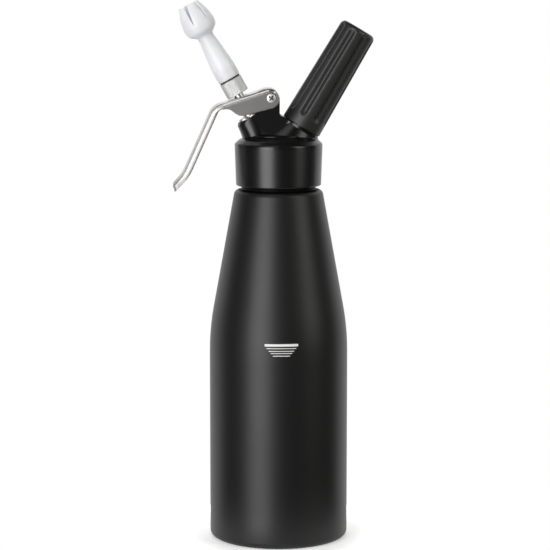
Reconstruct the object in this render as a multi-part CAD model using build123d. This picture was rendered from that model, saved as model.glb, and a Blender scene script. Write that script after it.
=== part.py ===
from build123d import *
import math
import os

# Cream whipper: drawn bottle, screwed head with a tilted dispensing valve and lever on the
# left (-X) and a tilted gas charger port with its holder on the right (+X).
# Millimetres, +Z up, origin at the centre of the base.

# ---------------------------------------------------------------- clearances
shaft_clearance = 0.05      # radial, a shaft or pin in its bore
seat_clearance = 0.05       # between pieces that are seated on each other
thread_clearance = 0.4      # radial, screwed pieces of different bodies
moving_gap = 0.3            # between pieces that pass each other
match_tolerance = 0.1       # for finding an edge by its place

# ---------------------------------------------------------------- bottle
bottle_radius = 48.0
bottle_wall = 1.6
base_thickness = 2.5
foot_round = 4.0
taper_height = 146.9        # where the straight wall and the cone would cross
taper_round = 178.0
shoulder_height = 244.3
shoulder_radius = 30.33      # where the cone meets the shoulder
shoulder_round = 4.0
shoulder_wall = 3.0
neck_radius = 25.6          # root of the neck thread
neck_wall = 3.2
neck_length = 21.8
neck_thread_depth = 1.1
neck_thread_pitch = 4.0
neck_thread_turns = 3.2
rim_round = 0.8

# ---------------------------------------------------------------- head casting
collar_gap = 2.8            # between bottle shoulder and collar
collar_foot_radius = 29.4
collar_radius = 30.4
collar_height = 28.8        # foot to the start of the sloping top
cap_rim_radius = 27.2       # top of the slope
cap_rim_rise = 2.8
cap_dome_radius = 20.5
cap_dome_rise = 3.4
cap_apex_rise = 2.8
collar_foot_round = 0.9
collar_rim_round = 1.8
cap_rim_round = 4.0
cap_dome_round = 25.0
casting_blend = 2.5         # concave blend where the ports rise from the cap
flank_blend = 5.0           # concave blend between the charger boss and the web
gasket_thickness = 2.0
gasket_width = 3.6
roof_recess_radius = 19.0
roof_recess_depth = 4.0

# ---------------------------------------------------------------- valve port
valve_tilt = 29.3           # towards -X, from vertical
valve_axis_drop = 15.6      # from the collar's top down to where the axes cross
valve_port_reach = 39.65    # from there up to the port face
port_radius = 10.1
port_bore_radius = 5.6
port_throat_radius = 4.7
port_bore_depth = 12.2
seat_top_depth = 22.0
seat_depth = 26.0
seat_boss_radius = 7.3
seat_hole_radius = 4.3

# ---------------------------------------------------------------- stem and valve pieces
stem_radius = 3.5
stem_bore_radius = 1.9
stem_top = 25.4             # above the port face, along the valve axis
stem_port_radius = 1.2
stem_port_depth = 18.5
plug_radius = 5.2
plug_thickness = 3.3
plug_gap = 0.3
plug_nut_radius = 4.2
plug_nut_height = 2.5
knurl_nut_radius = 8.4
knurl_nut_height = 1.1
knurl_nut_thread_length = 7.0
knurl_nut_teeth = 44
bush_neck_radius = 4.5
bush_neck_top = 4.0
bush_foot_radius = 5.4
bush_foot_depth = 10.6
bush_groove_gap = 1.2
o_ring_thickness = 1.44
spring_seat_radius = 7.3
spring_seat_thickness = 1.2
spring_wire = 0.9
spring_foot_radius = 5.9
spring_top_radius = 4.9
spring_turns = 2.5
thrust_washer_radius = 6.0
thrust_washer_thickness = 1.6
thrust_washer_top = 12.35   # above the port face
thrust_washer_rim = 0.4     # step down from its middle to its rim
clip_groove_radius = 2.9
clip_radius = 4.5
clip_thickness = 0.7
plug_neck_radius = 2.5

# ---------------------------------------------------------------- adapter and nozzle
adapter_height = 17.4       # bottom, above the port face
adapter_length = 11.1
adapter_radius = 7.9
adapter_chamfer = 1.1
adapter_teeth = 64
knurl_depth = 0.22
adapter_spigot_radius = 5.1
adapter_spigot_length = 8.6
nozzle_thread_depth = 0.6
nozzle_thread_pitch = 1.5
nozzle_thread_turns = 4.0
ring_thickness = 1.0
ring_radius = 7.4
nozzle_length = 58.0
nozzle_base_radius = 7.9
nozzle_belly_radius = 8.2
nozzle_belly_height = 7.0   # heights above the nozzle's foot
nozzle_taper_radius = 7.95
nozzle_taper_height = 11.0
nozzle_neck_radius = 5.6
nozzle_neck_low = 32.5
nozzle_neck_high = 34.0
bulb_foot_radius = 10.65
bulb_foot_height = 38.2
tulip_radius = 11.45
tulip_height = 42.8
petal_knee_radius = 10.05
petal_knee_height = 50.3
tulip_tip_radius = 7.3
nozzle_wall = 1.5
petal_count = 6
petal_slot_width = 3.0      # at the tip
petal_slot_foot = 0.2       # width where the slot runs out
petal_slot_length = 14.4
petal_turn = 18.0           # of the first slot, from the front towards -X

# ---------------------------------------------------------------- lever
pivot_across = 18.5         # from the valve axis, square to it
pivot_above = 4.5           # above the port face, along the valve axis
lever_sheet = 1.5
lever_width = 24.0
lever_end_radius = 6.9      # plate's outside above the pivot
lever_heel_reach = 5.8      # from the pivot to the back of the lever
lever_plate_angle = 18.0    # from horizontal, rising towards the pivot
lever_plate_length = 39.9
lever_bend_round = 12.0
lever_arm_angle = 24.2      # from vertical
lever_arm_length = 52.3
lever_arm_depth = 5.1
lever_tip_angle = 44.0      # from vertical
lever_tip_length = 9.5
lever_tip_round = 35.0
lever_tip_depth = 4.2
lever_tip_lean = 1.4        # lower edge of the end runs on by this much
lever_tip_corner = 5.0
lever_edge_round = 2.0
cheek_edge_angle = 15.0     # lower edge, from horizontal
cheek_low_along = 24.6      # from the pivot along the plate, to the cheek's lowest corner
cheek_low_round = 9.0
cheek_throat_along = 29.6   # to the corner where the cheek has run out
cheek_throat_depth = 5.0
cheek_throat_round = 6.0
arm_throat_round = 3.5
lever_travel = 9.0          # degrees
pivot_barrel_radius = 2.5
pivot_screw_radius = 1.5
pivot_head_radius = 3.1
pivot_head_height = 1.5
pivot_washer_radius = 3.9
pivot_washer_thickness = 0.6
ear_right = 0.4             # x of the ear's straight side
ear_top_gap = 0.45
ear_foot_round = 1.5
saddle_rise = 1.6           # of the web's low point above the boss's inner corner
saddle_round = 2.5
web_sink = 2.0              # the web's hidden faces stay this deep inside the casting
web_edge_inset = 1.2        # where the web's top meets the boss face, in from its edge

# ---------------------------------------------------------------- charger port and holder
charger_tilt = 30.7         # towards +X, from vertical
charger_axis_drop = 14.3     # from the collar's top down to where the axes cross
boss_reach = 30.2           # from the bottle axis to the boss face
boss_radius = 13.8
socket_radius = 9.6
socket_reach = 20.0
spigot_root_radius = 10.6
spigot_length = 14.0        # above the boss face
spigot_thread_depth = 0.8
spigot_thread_pitch = 2.5
spigot_thread_turns = 4.4
spigot_bore_radius = 5.0
pin_radius = 2.9
pin_bore_radius = 0.8
pin_tip_radius = 1.0
pin_tip_length = 4.2
pin_flange_radius = 4.6
pin_flange_height = 2.0
pin_nut_height = 2.4
charger_seal_thickness = 2.2
gas_hole_radius = 2.0
duckbill_offset = 7.0
duckbill_radius = 4.2
duckbill_socket_depth = 4.0
duckbill_flange_radius = 5.2
duckbill_length = 6.0
charger_length = 65.5
charger_radius = 8.9
charger_neck_radius = 4.4
charger_neck_length = 8.5
charger_wall = 1.3
pierced_hole_radius = 1.3
holder_gap = 0.3
holder_length = 78.0
holder_base_radius = 14.3
holder_top_radius = 12.9
holder_edge_round = 3.5
holder_groove_count = 8
holder_groove_width = 5.2
holder_groove_depth = 1.05
holder_groove_foot = 7.4
holder_groove_head = 2.6
holder_groove_turn = 18.5   # of the first groove, from the front towards -X

# ---------------------------------------------------------------- values that follow
tan_taper = (bottle_radius - shoulder_radius) / (shoulder_height - taper_height)
taper_slope = math.atan(tan_taper)
mouth_height = shoulder_height + neck_length
neck_bore_radius = neck_radius - neck_wall
neck_major_radius = neck_radius + neck_thread_depth
collar_foot = shoulder_height + collar_gap
collar_top = collar_foot + collar_height
head_roof = mouth_height + gasket_thickness + 2 * seat_clearance
recess_roof = head_roof + roof_recess_depth
collar_bore_radius = neck_major_radius + thread_clearance
dome_top = collar_top + cap_rim_rise + cap_dome_rise + cap_apex_rise
adapter_top = adapter_height + adapter_length
ring_foot = adapter_top + seat_clearance
nozzle_foot = ring_foot + ring_thickness + seat_clearance
nozzle_thread_major = adapter_spigot_radius + nozzle_thread_depth
nozzle_socket_radius = nozzle_thread_major + moving_gap
cheek_inner = lever_width / 2 - lever_sheet
ear_spot_depth = port_radius - (cheek_inner - pivot_washer_thickness - 3 * seat_clearance)
pivot_bore_radius = pivot_barrel_radius + shaft_clearance
spigot_top = boss_reach + spigot_length
spigot_major_radius = spigot_root_radius + spigot_thread_depth
holder_foot = boss_reach + holder_gap
holder_thread_bore = spigot_major_radius + thread_clearance
charger_bore_radius = charger_radius + moving_gap
pin_flange_foot = socket_reach + pin_nut_height + 3 * seat_clearance
pin_flange_top = pin_flange_foot + pin_flange_height
seal_foot = spigot_top - charger_neck_length - seat_clearance
charger_tip = seal_foot + charger_seal_thickness + 2 * seat_clearance


def tilted_frame(tilt, height, reach):
    """Frame on a port axis: z outwards along the axis, y to the back, x square to both."""
    slope = math.radians(tilt)
    along = Vector(math.sin(slope), 0, math.cos(slope))
    across = Vector(math.cos(slope), 0, -math.sin(slope))
    return Plane(origin=Vector(0, 0, height) + along * reach, x_dir=across, z_dir=along)


valve_frame = tilted_frame(-valve_tilt, collar_top - valve_axis_drop, valve_port_reach)
charger_frame = tilted_frame(charger_tilt, collar_top - charger_axis_drop, 0)
pivot = valve_frame.from_local_coords(Vector(pivot_across, 0, pivot_above))


# ---------------------------------------------------------------- shared shapes
def rounded_face(corners, plane=Plane.XZ):
    """Closed outline of (x, z, round) corners; each corner is cut by a tangent arc."""
    points = [Vector(corner[0], corner[1]) for corner in corners]
    starts, mids, ends = [], [], []
    for i, corner in enumerate(corners):
        point = points[i]
        arrive = (point - points[i - 1]).normalized()
        leave = (points[(i + 1) % len(points)] - point).normalized()
        half_turn = math.radians(arrive.get_angle(leave)) / 2
        reach = corner[2] * math.tan(half_turn)
        starts.append(point - arrive * reach)
        ends.append(point + leave * reach)
        inward = leave - arrive
        depth = corner[2] * (1 / math.cos(half_turn) - 1)
        mids.append(point + inward.normalized() * depth if inward.length > 1e-9 else point)
    edges = []
    for i in range(len(points)):
        if (ends[i - 1] - starts[i]).length > 1e-6:
            edges.append(Line(ends[i - 1], starts[i]))
        if (starts[i] - ends[i]).length > 1e-6:
            edges.append(ThreePointArc(starts[i], mids[i], ends[i]))
    return plane * make_face(edges)


def turned(corners):
    """Solid of revolution about Z of an outline of (radius, height, round) corners."""
    return revolve(rounded_face(corners), Axis.Z)


def tube(outer, inner, low, high, edge_round=0.0):
    """Ring or tube between two heights, its outer edges eased."""
    return turned([
        (inner, low, 0),
        (outer, low, edge_round),
        (outer, high, edge_round),
        (inner, high, 0),
    ])


def rod(radius, low, high):
    """Plain cylinder on Z between two heights."""
    return Pos(0, 0, low) * Cylinder(radius, high - low, align=(Align.CENTER, Align.CENTER, Align.MIN))


def thread_ridge(root_radius, depth, pitch, turns, low):
    """Helical ridge of trapezoid section that stands on a cylinder of the root radius."""
    path = Helix(pitch=pitch, height=pitch * turns, radius=root_radius)
    foot, crest, sink = pitch * 0.34, pitch * 0.12, 0.15
    section = make_face(Polyline(
        (root_radius - sink, -foot), (root_radius + depth, -crest),
        (root_radius + depth, crest), (root_radius - sink, foot), close=True))
    section = Plane.XZ * section
    ridge = sweep(section, path=path, is_frenet=True)
    return Pos(0, 0, low) * ridge


def knurled_band(radius, teeth, low, high):
    """Straight-toothed band: a star outline pushed up along Z."""
    points = []
    for i in range(2 * teeth):
        angle = math.pi * i / teeth
        reach = radius - (knurl_depth if i % 2 else 0)
        points.append((reach * math.cos(angle), reach * math.sin(angle)))
    return Pos(0, 0, low) * extrude(make_face(Polyline(*points, close=True)), high - low)


# ---------------------------------------------------------------- bottle
def cone_radius(height, inset=0.0):
    """Radius of the bottle's cone at a height, set in by a wall measured square to it."""
    return bottle_radius - (height - taper_height) * tan_taper - inset / math.cos(taper_slope)


def make_bottle():
    inner_roof = shoulder_height - shoulder_wall
    inner_corner = taper_height - bottle_wall * math.tan(taper_slope / 2)
    body = turned([
        (0, 0, 0),
        (bottle_radius, 0, foot_round),
        (bottle_radius, taper_height, taper_round),
        (shoulder_radius, shoulder_height, shoulder_round),
        (neck_radius, shoulder_height, rim_round),
        (neck_radius, mouth_height, rim_round),
        (neck_bore_radius, mouth_height, rim_round),
        (neck_bore_radius, inner_roof, rim_round),
        (cone_radius(inner_roof, bottle_wall), inner_roof, shoulder_round - bottle_wall),
        (bottle_radius - bottle_wall, inner_corner, taper_round - bottle_wall),
        (bottle_radius - bottle_wall, base_thickness, foot_round - bottle_wall),
        (0, base_thickness, 0),
    ])
    thread_foot = shoulder_height + collar_gap + neck_thread_pitch
    return body + thread_ridge(neck_radius, neck_thread_depth, neck_thread_pitch,
                               neck_thread_turns, thread_foot)


# ---------------------------------------------------------------- head
def make_head_gasket():
    low = mouth_height + seat_clearance
    outer = neck_bore_radius + gasket_width
    return tube(outer, neck_bore_radius, low, low + gasket_thickness, rim_round / 2)


def ear_and_web():
    """Flat-sided web between the two ports with the ear for the lever's pivot."""
    ear_radius = lever_heel_reach - lever_sheet - ear_top_gap
    face_centre = valve_frame.origin
    ear_foot = valve_frame.from_local_coords(Vector(pivot_across - ear_radius, 0, 0))
    ear_side = valve_frame.from_local_coords(Vector(pivot_across - ear_radius, 0, pivot_above))
    valve_low = valve_frame.from_local_coords(Vector(0, 0, -seat_top_depth))
    boss_side = charger_frame.from_local_coords(Vector(-boss_radius, 0, boss_reach))
    boss_corner = charger_frame.from_local_coords(Vector(web_edge_inset - boss_radius, 0, boss_reach))
    boss_inside = charger_frame.from_local_coords(Vector(0, 0, boss_reach - web_sink))
    shelf = pivot.Z - 2 * moving_gap
    web = rounded_face([
        (valve_low.X, valve_low.Z, 0),
        (face_centre.X, face_centre.Z, 0),
        (ear_foot.X, ear_foot.Z, ear_foot_round),
        (ear_side.X, ear_side.Z, 0),
        (pivot.X, pivot.Z, 0),
        (pivot.X + ear_radius, pivot.Z, 0),
        (pivot.X + ear_radius, shelf, 0),
        (ear_right, shelf, 0),
        (ear_right, boss_side.Z + saddle_rise, saddle_round),
        (boss_corner.X, boss_corner.Z, 0),
        (boss_inside.X, boss_inside.Z, 0),
        (boss_inside.X, recess_roof + web_sink, 0),
        (0, recess_roof + web_sink, 0),
    ])
    ear_top = Plane.XZ * (Pos(pivot.X, pivot.Z) * Circle(ear_radius))
    return extrude(web + ear_top, port_radius, both=True)


def cap_and_skirt():
    """Collar with its domed cap, solid down to the foot."""
    dome_rim = collar_top + cap_rim_rise
    return turned([
        (0, collar_foot, 0),
        (collar_foot_radius, collar_foot, collar_foot_round),
        (collar_radius, collar_top, collar_rim_round),
        (cap_rim_radius, dome_rim, cap_rim_round),
        (cap_dome_radius, dome_rim + cap_dome_rise, cap_dome_round),
        (0, dome_top, 0),
    ])


def head_casting():
    """Outside of the casting: collar, both ports, the web between them and the blends."""
    port = valve_frame.location * rod(port_radius, -seat_top_depth, 0)
    boss = charger_frame.location * rod(boss_radius, boss_reach / 4, boss_reach)
    web = ear_and_web()
    upper = port + boss + web
    creases = new_edges(port + boss, web, combined=upper).filter_by(GeomType.LINE)
    upper = fillet(creases, flank_blend)
    cap = cap_and_skirt()
    head = cap + upper
    return fillet(new_edges(cap, upper, combined=head), casting_blend)


def make_head_body():
    head = head_casting()
    head -= rod(collar_bore_radius, collar_foot - 1, head_roof)
    head -= rod(roof_recess_radius, head_roof - 1, recess_roof)
    head += valve_frame.location * rod(seat_boss_radius, -seat_depth, -seat_top_depth)
    head -= valve_frame.location * rod(port_bore_radius, -port_bore_depth, 1)
    head -= valve_frame.location * rod(port_throat_radius, -seat_depth - 1, 0)
    head -= valve_frame.location * rod(port_bore_radius, -2 * seat_depth, -seat_top_depth)
    head -= charger_frame.location * rod(socket_radius, socket_reach, boss_reach + 1)
    head -= charger_frame.location * rod(gas_hole_radius, socket_reach - 5, socket_reach + 1)
    head -= Pos(duckbill_offset, 0, 0) * rod(duckbill_radius + seat_clearance, recess_roof - 1,
                                             recess_roof + duckbill_socket_depth)
    across = Location((pivot.X, 0, pivot.Z), (90, 0, 0))
    head -= across * Cylinder(pivot_bore_radius, 4 * port_radius)
    spot = Cylinder(pivot_washer_radius + moving_gap, ear_spot_depth)
    for side in (-1, 1):
        head -= Pos(0, side * (port_radius - ear_spot_depth / 2), 0) * across * spot
    return head


# ---------------------------------------------------------------- valve, along its own axis
def make_knurled_nut():
    thread = tube(port_bore_radius - shaft_clearance, bush_neck_radius + shaft_clearance,
                  -knurl_nut_thread_length, seat_clearance)
    flange = knurled_band(knurl_nut_radius, knurl_nut_teeth, seat_clearance, knurl_nut_height)
    return thread + flange - rod(bush_neck_radius + shaft_clearance, -1, knurl_nut_height + 1)


def make_guide_bush():
    shoulder = -knurl_nut_thread_length - seat_clearance
    bore = stem_radius + shaft_clearance
    groove_top = shoulder - bush_groove_gap
    groove_foot = groove_top - o_ring_thickness - 2 * seat_clearance
    groove_radius = stem_radius + o_ring_thickness + 2 * seat_clearance
    return turned([
        (bore, -bush_foot_depth, 0),
        (bush_foot_radius, -bush_foot_depth, 0.4),
        (bush_foot_radius, shoulder, 0),
        (bush_neck_radius, shoulder, 0),
        (bush_neck_radius, bush_neck_top + spring_seat_thickness, 0.2),
        (bore, bush_neck_top + spring_seat_thickness, 0),
        (bore, groove_top, 0),
        (groove_radius, groove_top, 0),
        (groove_radius, groove_foot, 0),
        (bore, groove_foot, 0),
    ])


def make_stem_o_ring():
    groove_top = -knurl_nut_thread_length - seat_clearance - bush_groove_gap
    centre_radius = stem_radius + seat_clearance + o_ring_thickness / 2
    centre_height = groove_top - seat_clearance - o_ring_thickness / 2
    return Pos(0, 0, centre_height) * Torus(centre_radius, o_ring_thickness / 2)


def make_bush_gasket():
    return tube(port_bore_radius - 2 * shaft_clearance, stem_radius + moving_gap,
                -port_bore_depth + seat_clearance, -bush_foot_depth - seat_clearance)


def make_spring_seat():
    return tube(spring_seat_radius, bush_neck_radius + shaft_clearance, bush_neck_top,
                bush_neck_top + spring_seat_thickness, 0.3)


def make_valve_spring():
    low = bush_neck_top + spring_seat_thickness + seat_clearance + spring_wire / 2
    high = thrust_washer_top - thrust_washer_thickness - seat_clearance - spring_wire / 2
    height = high - low
    slope = math.degrees(math.atan((spring_foot_radius - spring_top_radius) / height))
    path = Helix(pitch=height / spring_turns, height=height, radius=spring_foot_radius, cone_angle=-slope)
    section = Plane(origin=path @ 0, z_dir=path % 0) * Circle(spring_wire / 2)
    return Pos(0, 0, low) * sweep(section, path=path, is_frenet=True)


def make_valve_seat():
    return turned([
        (seat_hole_radius, -seat_depth, 0.5),
        (port_bore_radius - shaft_clearance, -seat_depth, 0),
        (port_bore_radius - shaft_clearance, -seat_top_depth - seat_clearance, 0),
        (seat_hole_radius, -seat_top_depth - seat_clearance, 0.3),
    ])


def make_valve_stem():
    plug_top = -seat_depth - plug_gap
    stem_foot = plug_top - plug_thickness - plug_nut_height - seat_clearance
    clip_low, clip_high = clip_span()
    stem = turned([
        (0, stem_foot, 0),
        (plug_neck_radius, stem_foot, 0.3),
        (plug_neck_radius, plug_top, 0),
        (stem_radius, plug_top, 0),
        (stem_radius, clip_low - seat_clearance, 0),
        (clip_groove_radius, clip_low - seat_clearance, 0),
        (clip_groove_radius, clip_high + seat_clearance, 0),
        (stem_radius, clip_high + seat_clearance, 0),
        (stem_radius, stem_top, 0.4),
        (stem_bore_radius, stem_top, 0),
        (stem_bore_radius, -seat_top_depth, 0),
        (0, -seat_top_depth, 0),
    ])
    cross_port = Pos(0, 0, -stem_port_depth) * Rot(90, 0, 0) * Cylinder(stem_port_radius, 4 * stem_radius)
    return stem - cross_port - Rot(0, 0, 90) * cross_port


def make_stem_plug():
    top = -seat_depth - plug_gap
    bore = plug_neck_radius + shaft_clearance
    foot = top - plug_thickness + seat_clearance
    return turned([
        (bore, foot, 0),
        (plug_radius - 0.8, foot, 0.3),
        (plug_radius, top - 0.8, 0.5),
        (plug_radius, top - seat_clearance, 0.3),
        (bore, top - seat_clearance, 0),
    ])


def make_plug_nut():
    top = -seat_depth - plug_gap - plug_thickness
    nut = Pos(0, 0, top - plug_nut_height) * extrude(RegularPolygon(plug_nut_radius, 6), plug_nut_height)
    return nut - rod(plug_neck_radius + shaft_clearance, top - 2 * plug_nut_height, top + 1)


def clip_span():
    """Lower and upper face of the clip that holds the thrust washer on the stem."""
    high = thrust_washer_top - seat_clearance
    return high - clip_thickness, high


def make_thrust_washer():
    low = thrust_washer_top - thrust_washer_thickness
    top = thrust_washer_top + 2 * seat_clearance
    pocket = clip_span()[0] - seat_clearance
    return turned([
        (stem_radius + shaft_clearance, low, 0),
        (thrust_washer_radius, low, 0.2),
        (thrust_washer_radius, top - thrust_washer_rim, 0.4),
        (clip_radius + thrust_washer_rim, top, 0.2),
        (clip_radius + seat_clearance, top, 0),
        (clip_radius + seat_clearance, pocket, 0),
        (stem_radius + shaft_clearance, pocket, 0),
    ])


def make_stem_clip():
    low, high = clip_span()
    ring = tube(clip_radius, clip_groove_radius + shaft_clearance, low, high)
    gap = Pos(clip_radius, 0, low) * Box(2 * clip_radius, clip_groove_radius, 4 * clip_thickness)
    return ring - gap


# ---------------------------------------------------------------- adapter and nozzle
def make_nozzle_adapter():
    band_foot = adapter_height + adapter_chamfer
    foot = turned([
        (0, adapter_height, 0),
        (adapter_radius - adapter_chamfer, adapter_height, 0),
        (adapter_radius - knurl_depth, band_foot, 0),
        (0, band_foot, 0),
    ])
    band = knurled_band(adapter_radius, adapter_teeth, band_foot, adapter_top)
    spigot_end = adapter_top + adapter_spigot_length
    spigot = tube(adapter_spigot_radius, 0.01, adapter_top - 0.5, spigot_end, 0.4)
    body = foot + band + rod(1.0, adapter_height, spigot_end) + spigot
    thread_foot = nozzle_foot + nozzle_thread_pitch / 2
    body += thread_ridge(adapter_spigot_radius, nozzle_thread_depth, nozzle_thread_pitch,
                         nozzle_thread_turns, thread_foot)
    body -= rod(stem_radius + shaft_clearance, adapter_height - 1, stem_top + seat_clearance)
    return body - rod(stem_radius - 0.5, stem_top, spigot_end + 1)


def make_nozzle_ring():
    return tube(ring_radius, nozzle_socket_radius, ring_foot, ring_foot + ring_thickness, 0.35)


def make_nozzle():
    foot, tip = nozzle_foot, nozzle_foot + nozzle_length
    neck_bore = nozzle_neck_radius - nozzle_wall
    socket_top = adapter_top + adapter_spigot_length + seat_clearance
    shell = turned([
        (nozzle_socket_radius, foot, 0.3),
        (nozzle_base_radius, foot, 0.4),
        (nozzle_belly_radius, foot + nozzle_belly_height, 25),
        (nozzle_taper_radius, foot + nozzle_taper_height, 20),
        (nozzle_neck_radius, foot + nozzle_neck_low, 4),
        (nozzle_neck_radius + 0.3, foot + nozzle_neck_high, 2),
        (bulb_foot_radius, foot + bulb_foot_height, 4),
        (tulip_radius, foot + tulip_height, 9),
        (petal_knee_radius, foot + petal_knee_height, 12),
        (tulip_tip_radius, tip, 0.7),
        (tulip_tip_radius - nozzle_wall, tip, 0.4),
        (petal_knee_radius - nozzle_wall, foot + petal_knee_height - nozzle_wall, 9),
        (tulip_radius - nozzle_wall, foot + tulip_height, 6),
        (neck_bore, foot + bulb_foot_height, 2),
        (neck_bore, socket_top, 0.5),
        (nozzle_socket_radius, socket_top, 0.5),
    ])
    slot_foot = tip - petal_slot_length
    half_width = petal_slot_width / 2
    wedge = rounded_face([
        (-petal_slot_foot / 2, slot_foot, 0),
        (petal_slot_foot / 2, slot_foot, 0),
        (half_width, tip, 0),
        (half_width, tip + half_width, 0),
        (-half_width, tip + half_width, 0),
        (-half_width, tip, 0),
    ])
    slot = extrude(wedge, 2 * tulip_radius, both=True)
    for i in range(petal_count // 2):
        shell -= Rot(0, 0, -petal_turn + 360 / petal_count * i) * slot
    return shell


# ---------------------------------------------------------------- lever
def lever_directions():
    """Unit vectors in the XZ plane: along plate, arm and tip (towards the tip), and their outsides."""
    along, outside = [], []
    for angle in (90 - lever_plate_angle, lever_arm_angle, lever_tip_angle):
        lean = math.radians(angle)
        along.append(Vector(-math.sin(lean), -math.cos(lean)))
        outside.append(Vector(-math.cos(lean), math.sin(lean)))
    return along, outside


def meeting_corner(centre, normal_a, reach_a, normal_b, reach_b):
    """Point where two lines meet, each square to its normal and at a reach from the centre."""
    cross = normal_a.X * normal_b.Y - normal_a.Y * normal_b.X
    across = (reach_a * normal_b.Y - reach_b * normal_a.Y) / cross
    up = (reach_b * normal_a.X - reach_a * normal_b.X) / cross
    return centre + Vector(across, up)


def lever_spine(depth):
    """Corners of the lever's outside, or of a face set in by a depth: wrap, bend, tip bend, end."""
    along, outside = lever_directions()
    centre = Vector(pivot.X, pivot.Z)
    wrap = meeting_corner(centre, Vector(1, 0), lever_heel_reach - depth,
                          outside[0], lever_end_radius - depth)
    bend = centre + outside[0] * lever_end_radius + along[0] * lever_plate_length
    tip_bend = bend + along[1] * lever_arm_length
    end = tip_bend + along[2] * lever_tip_length
    end_edge = (along[2] * lever_tip_lean - outside[2] * lever_tip_depth).normalized()
    end_normal = Vector(end_edge.Y, -end_edge.X)
    bend_in = meeting_corner(bend, outside[0], -depth, outside[1], -depth)
    tip_in = meeting_corner(tip_bend, outside[1], -depth, outside[2], -depth)
    end_in = meeting_corner(end, outside[2], -depth, end_normal, -depth)
    return wrap, bend_in, tip_in, end_in, end_edge


def lever_side():
    """Side outline of the lever: plate with cheeks, and the arm with its lower flanges."""
    along, outside = lever_directions()
    centre = Vector(pivot.X, pivot.Z)
    wrap, bend, tip_bend, end, end_edge = lever_spine(0)
    edge = math.radians(cheek_edge_angle)
    edge_out = Vector(math.sin(edge), -math.cos(edge))
    heel = meeting_corner(centre, Vector(1, 0), lever_heel_reach, edge_out, lever_end_radius)
    low = meeting_corner(centre, edge_out, lever_end_radius, along[0], cheek_low_along)
    throat = centre + along[0] * cheek_throat_along + outside[0] * (lever_end_radius - cheek_throat_depth)
    arm_under = bend - outside[1] * lever_arm_depth
    tip_under = meeting_corner(tip_bend, outside[1], -lever_arm_depth, outside[2], -lever_tip_depth)
    end_under = end + along[2] * lever_tip_lean - outside[2] * lever_tip_depth
    return rounded_face([
        (wrap.X, wrap.Y, lever_end_radius),
        (heel.X, heel.Y, lever_end_radius),
        (low.X, low.Y, cheek_low_round),
        (throat.X, throat.Y, cheek_throat_round),
        (arm_under.X, arm_under.Y, arm_throat_round),
        (tip_under.X, tip_under.Y, lever_tip_round),
        (end_under.X, end_under.Y, 0),
        (end.X, end.Y, 0),
        (tip_bend.X, tip_bend.Y, lever_tip_round),
        (bend.X, bend.Y, lever_bend_round),
    ])


def flat(point):
    """The point moved into the XZ plane."""
    return Vector(point.X, 0, point.Z)


def lever_block(depth):
    """Solid under the lever's outside, set in by a depth all round, with rounded end corners."""
    wrap, bend, tip_bend, end, end_edge = lever_spine(depth)
    deep = end + end_edge * lever_arm_length
    floor = deep.Y - lever_arm_length
    outline = rounded_face([
        (wrap.X, wrap.Y, lever_end_radius - depth),
        (bend.X, bend.Y, lever_bend_round - depth),
        (tip_bend.X, tip_bend.Y, lever_tip_round + depth),
        (end.X, end.Y, 0),
        (deep.X, deep.Y, 0),
        (deep.X, floor, 0),
        (wrap.X, floor, 0),
    ])
    block = extrude(outline, lever_width / 2 - depth, both=True)
    middle = Vector((end.X + deep.X) / 2, 0, (end.Y + deep.Y) / 2)
    sides = [edge for edge in block.edges() if abs(edge.center().Y) > lever_width / 4]
    corners = [edge for edge in sides if (flat(edge.center()) - middle).length < match_tolerance]
    return fillet(corners, lever_tip_corner - depth)


def make_lever():
    side = extrude(lever_side(), lever_width / 2, both=True)
    block = lever_block(0)
    back = [edge for edge in block.edges() if is_back_edge(edge, lever_spine(0))]
    outside = side & fillet(back, lever_edge_round)
    wrap_end = pivot.Z - moving_gap
    opening = Box(4 * lever_end_radius, 2 * cheek_inner, lever_arm_length,
                  align=(Align.MIN, Align.CENTER, Align.MAX))
    lever = outside - lever_block(lever_sheet) - Pos(pivot.X, 0, wrap_end) * opening
    across = Location((pivot.X, 0, pivot.Z), (90, 0, 0))
    lever -= across * Cylinder(pivot_bore_radius, 2 * lever_width)
    return lever - stem_slot()


def is_back_edge(edge, spine):
    """True for the long side edges of the lever's outside, from the wrap down to the end."""
    wrap, bend, tip_bend, end, end_edge = spine
    middle = edge @ 0.5
    if abs(abs(middle.Y) - lever_width / 2) > match_tolerance:
        return False
    along, outside = lever_directions()
    spot = Vector(middle.X, middle.Z)
    reach = max((spot - wrap).dot(outside[0]), (spot - bend).dot(outside[1]), (spot - wrap).X)
    end_normal = Vector(end_edge.Y, -end_edge.X)
    on_end = (spot - end).dot(end_normal) > -match_tolerance
    below_corner = (spot - end).dot(end_edge) > match_tolerance
    return reach > -2 * lever_sheet and not (on_end and below_corner)


def stem_slot():
    """Slot in the plate that the stem passes through as the plate tilts."""
    along, outside = lever_directions()
    centre = Vector(pivot.X, pivot.Z) + outside[0] * (lever_end_radius - lever_sheet / 2)
    lean = math.radians(valve_tilt - lever_plate_angle)
    lean_pressed = lean - math.radians(lever_travel)
    middle_depth = lever_end_radius - lever_sheet / 2
    reach = [pivot_across / math.cos(a) + middle_depth * math.tan(a) for a in (lean, lean_pressed)]
    slot_radius = stem_radius + moving_gap + 0.15
    slot_half = (max(reach) - min(reach)) / 2 + 0.15
    spot = centre + along[0] * (sum(reach) / 2)
    frame = Plane(origin=(spot.X, 0, spot.Y), x_dir=(along[0].X, 0, along[0].Y),
                  z_dir=(outside[0].X, 0, outside[0].Y))
    return extrude(frame * SlotCenterToCenter(2 * slot_half, 2 * slot_radius), 2 * lever_sheet, both=True)


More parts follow.
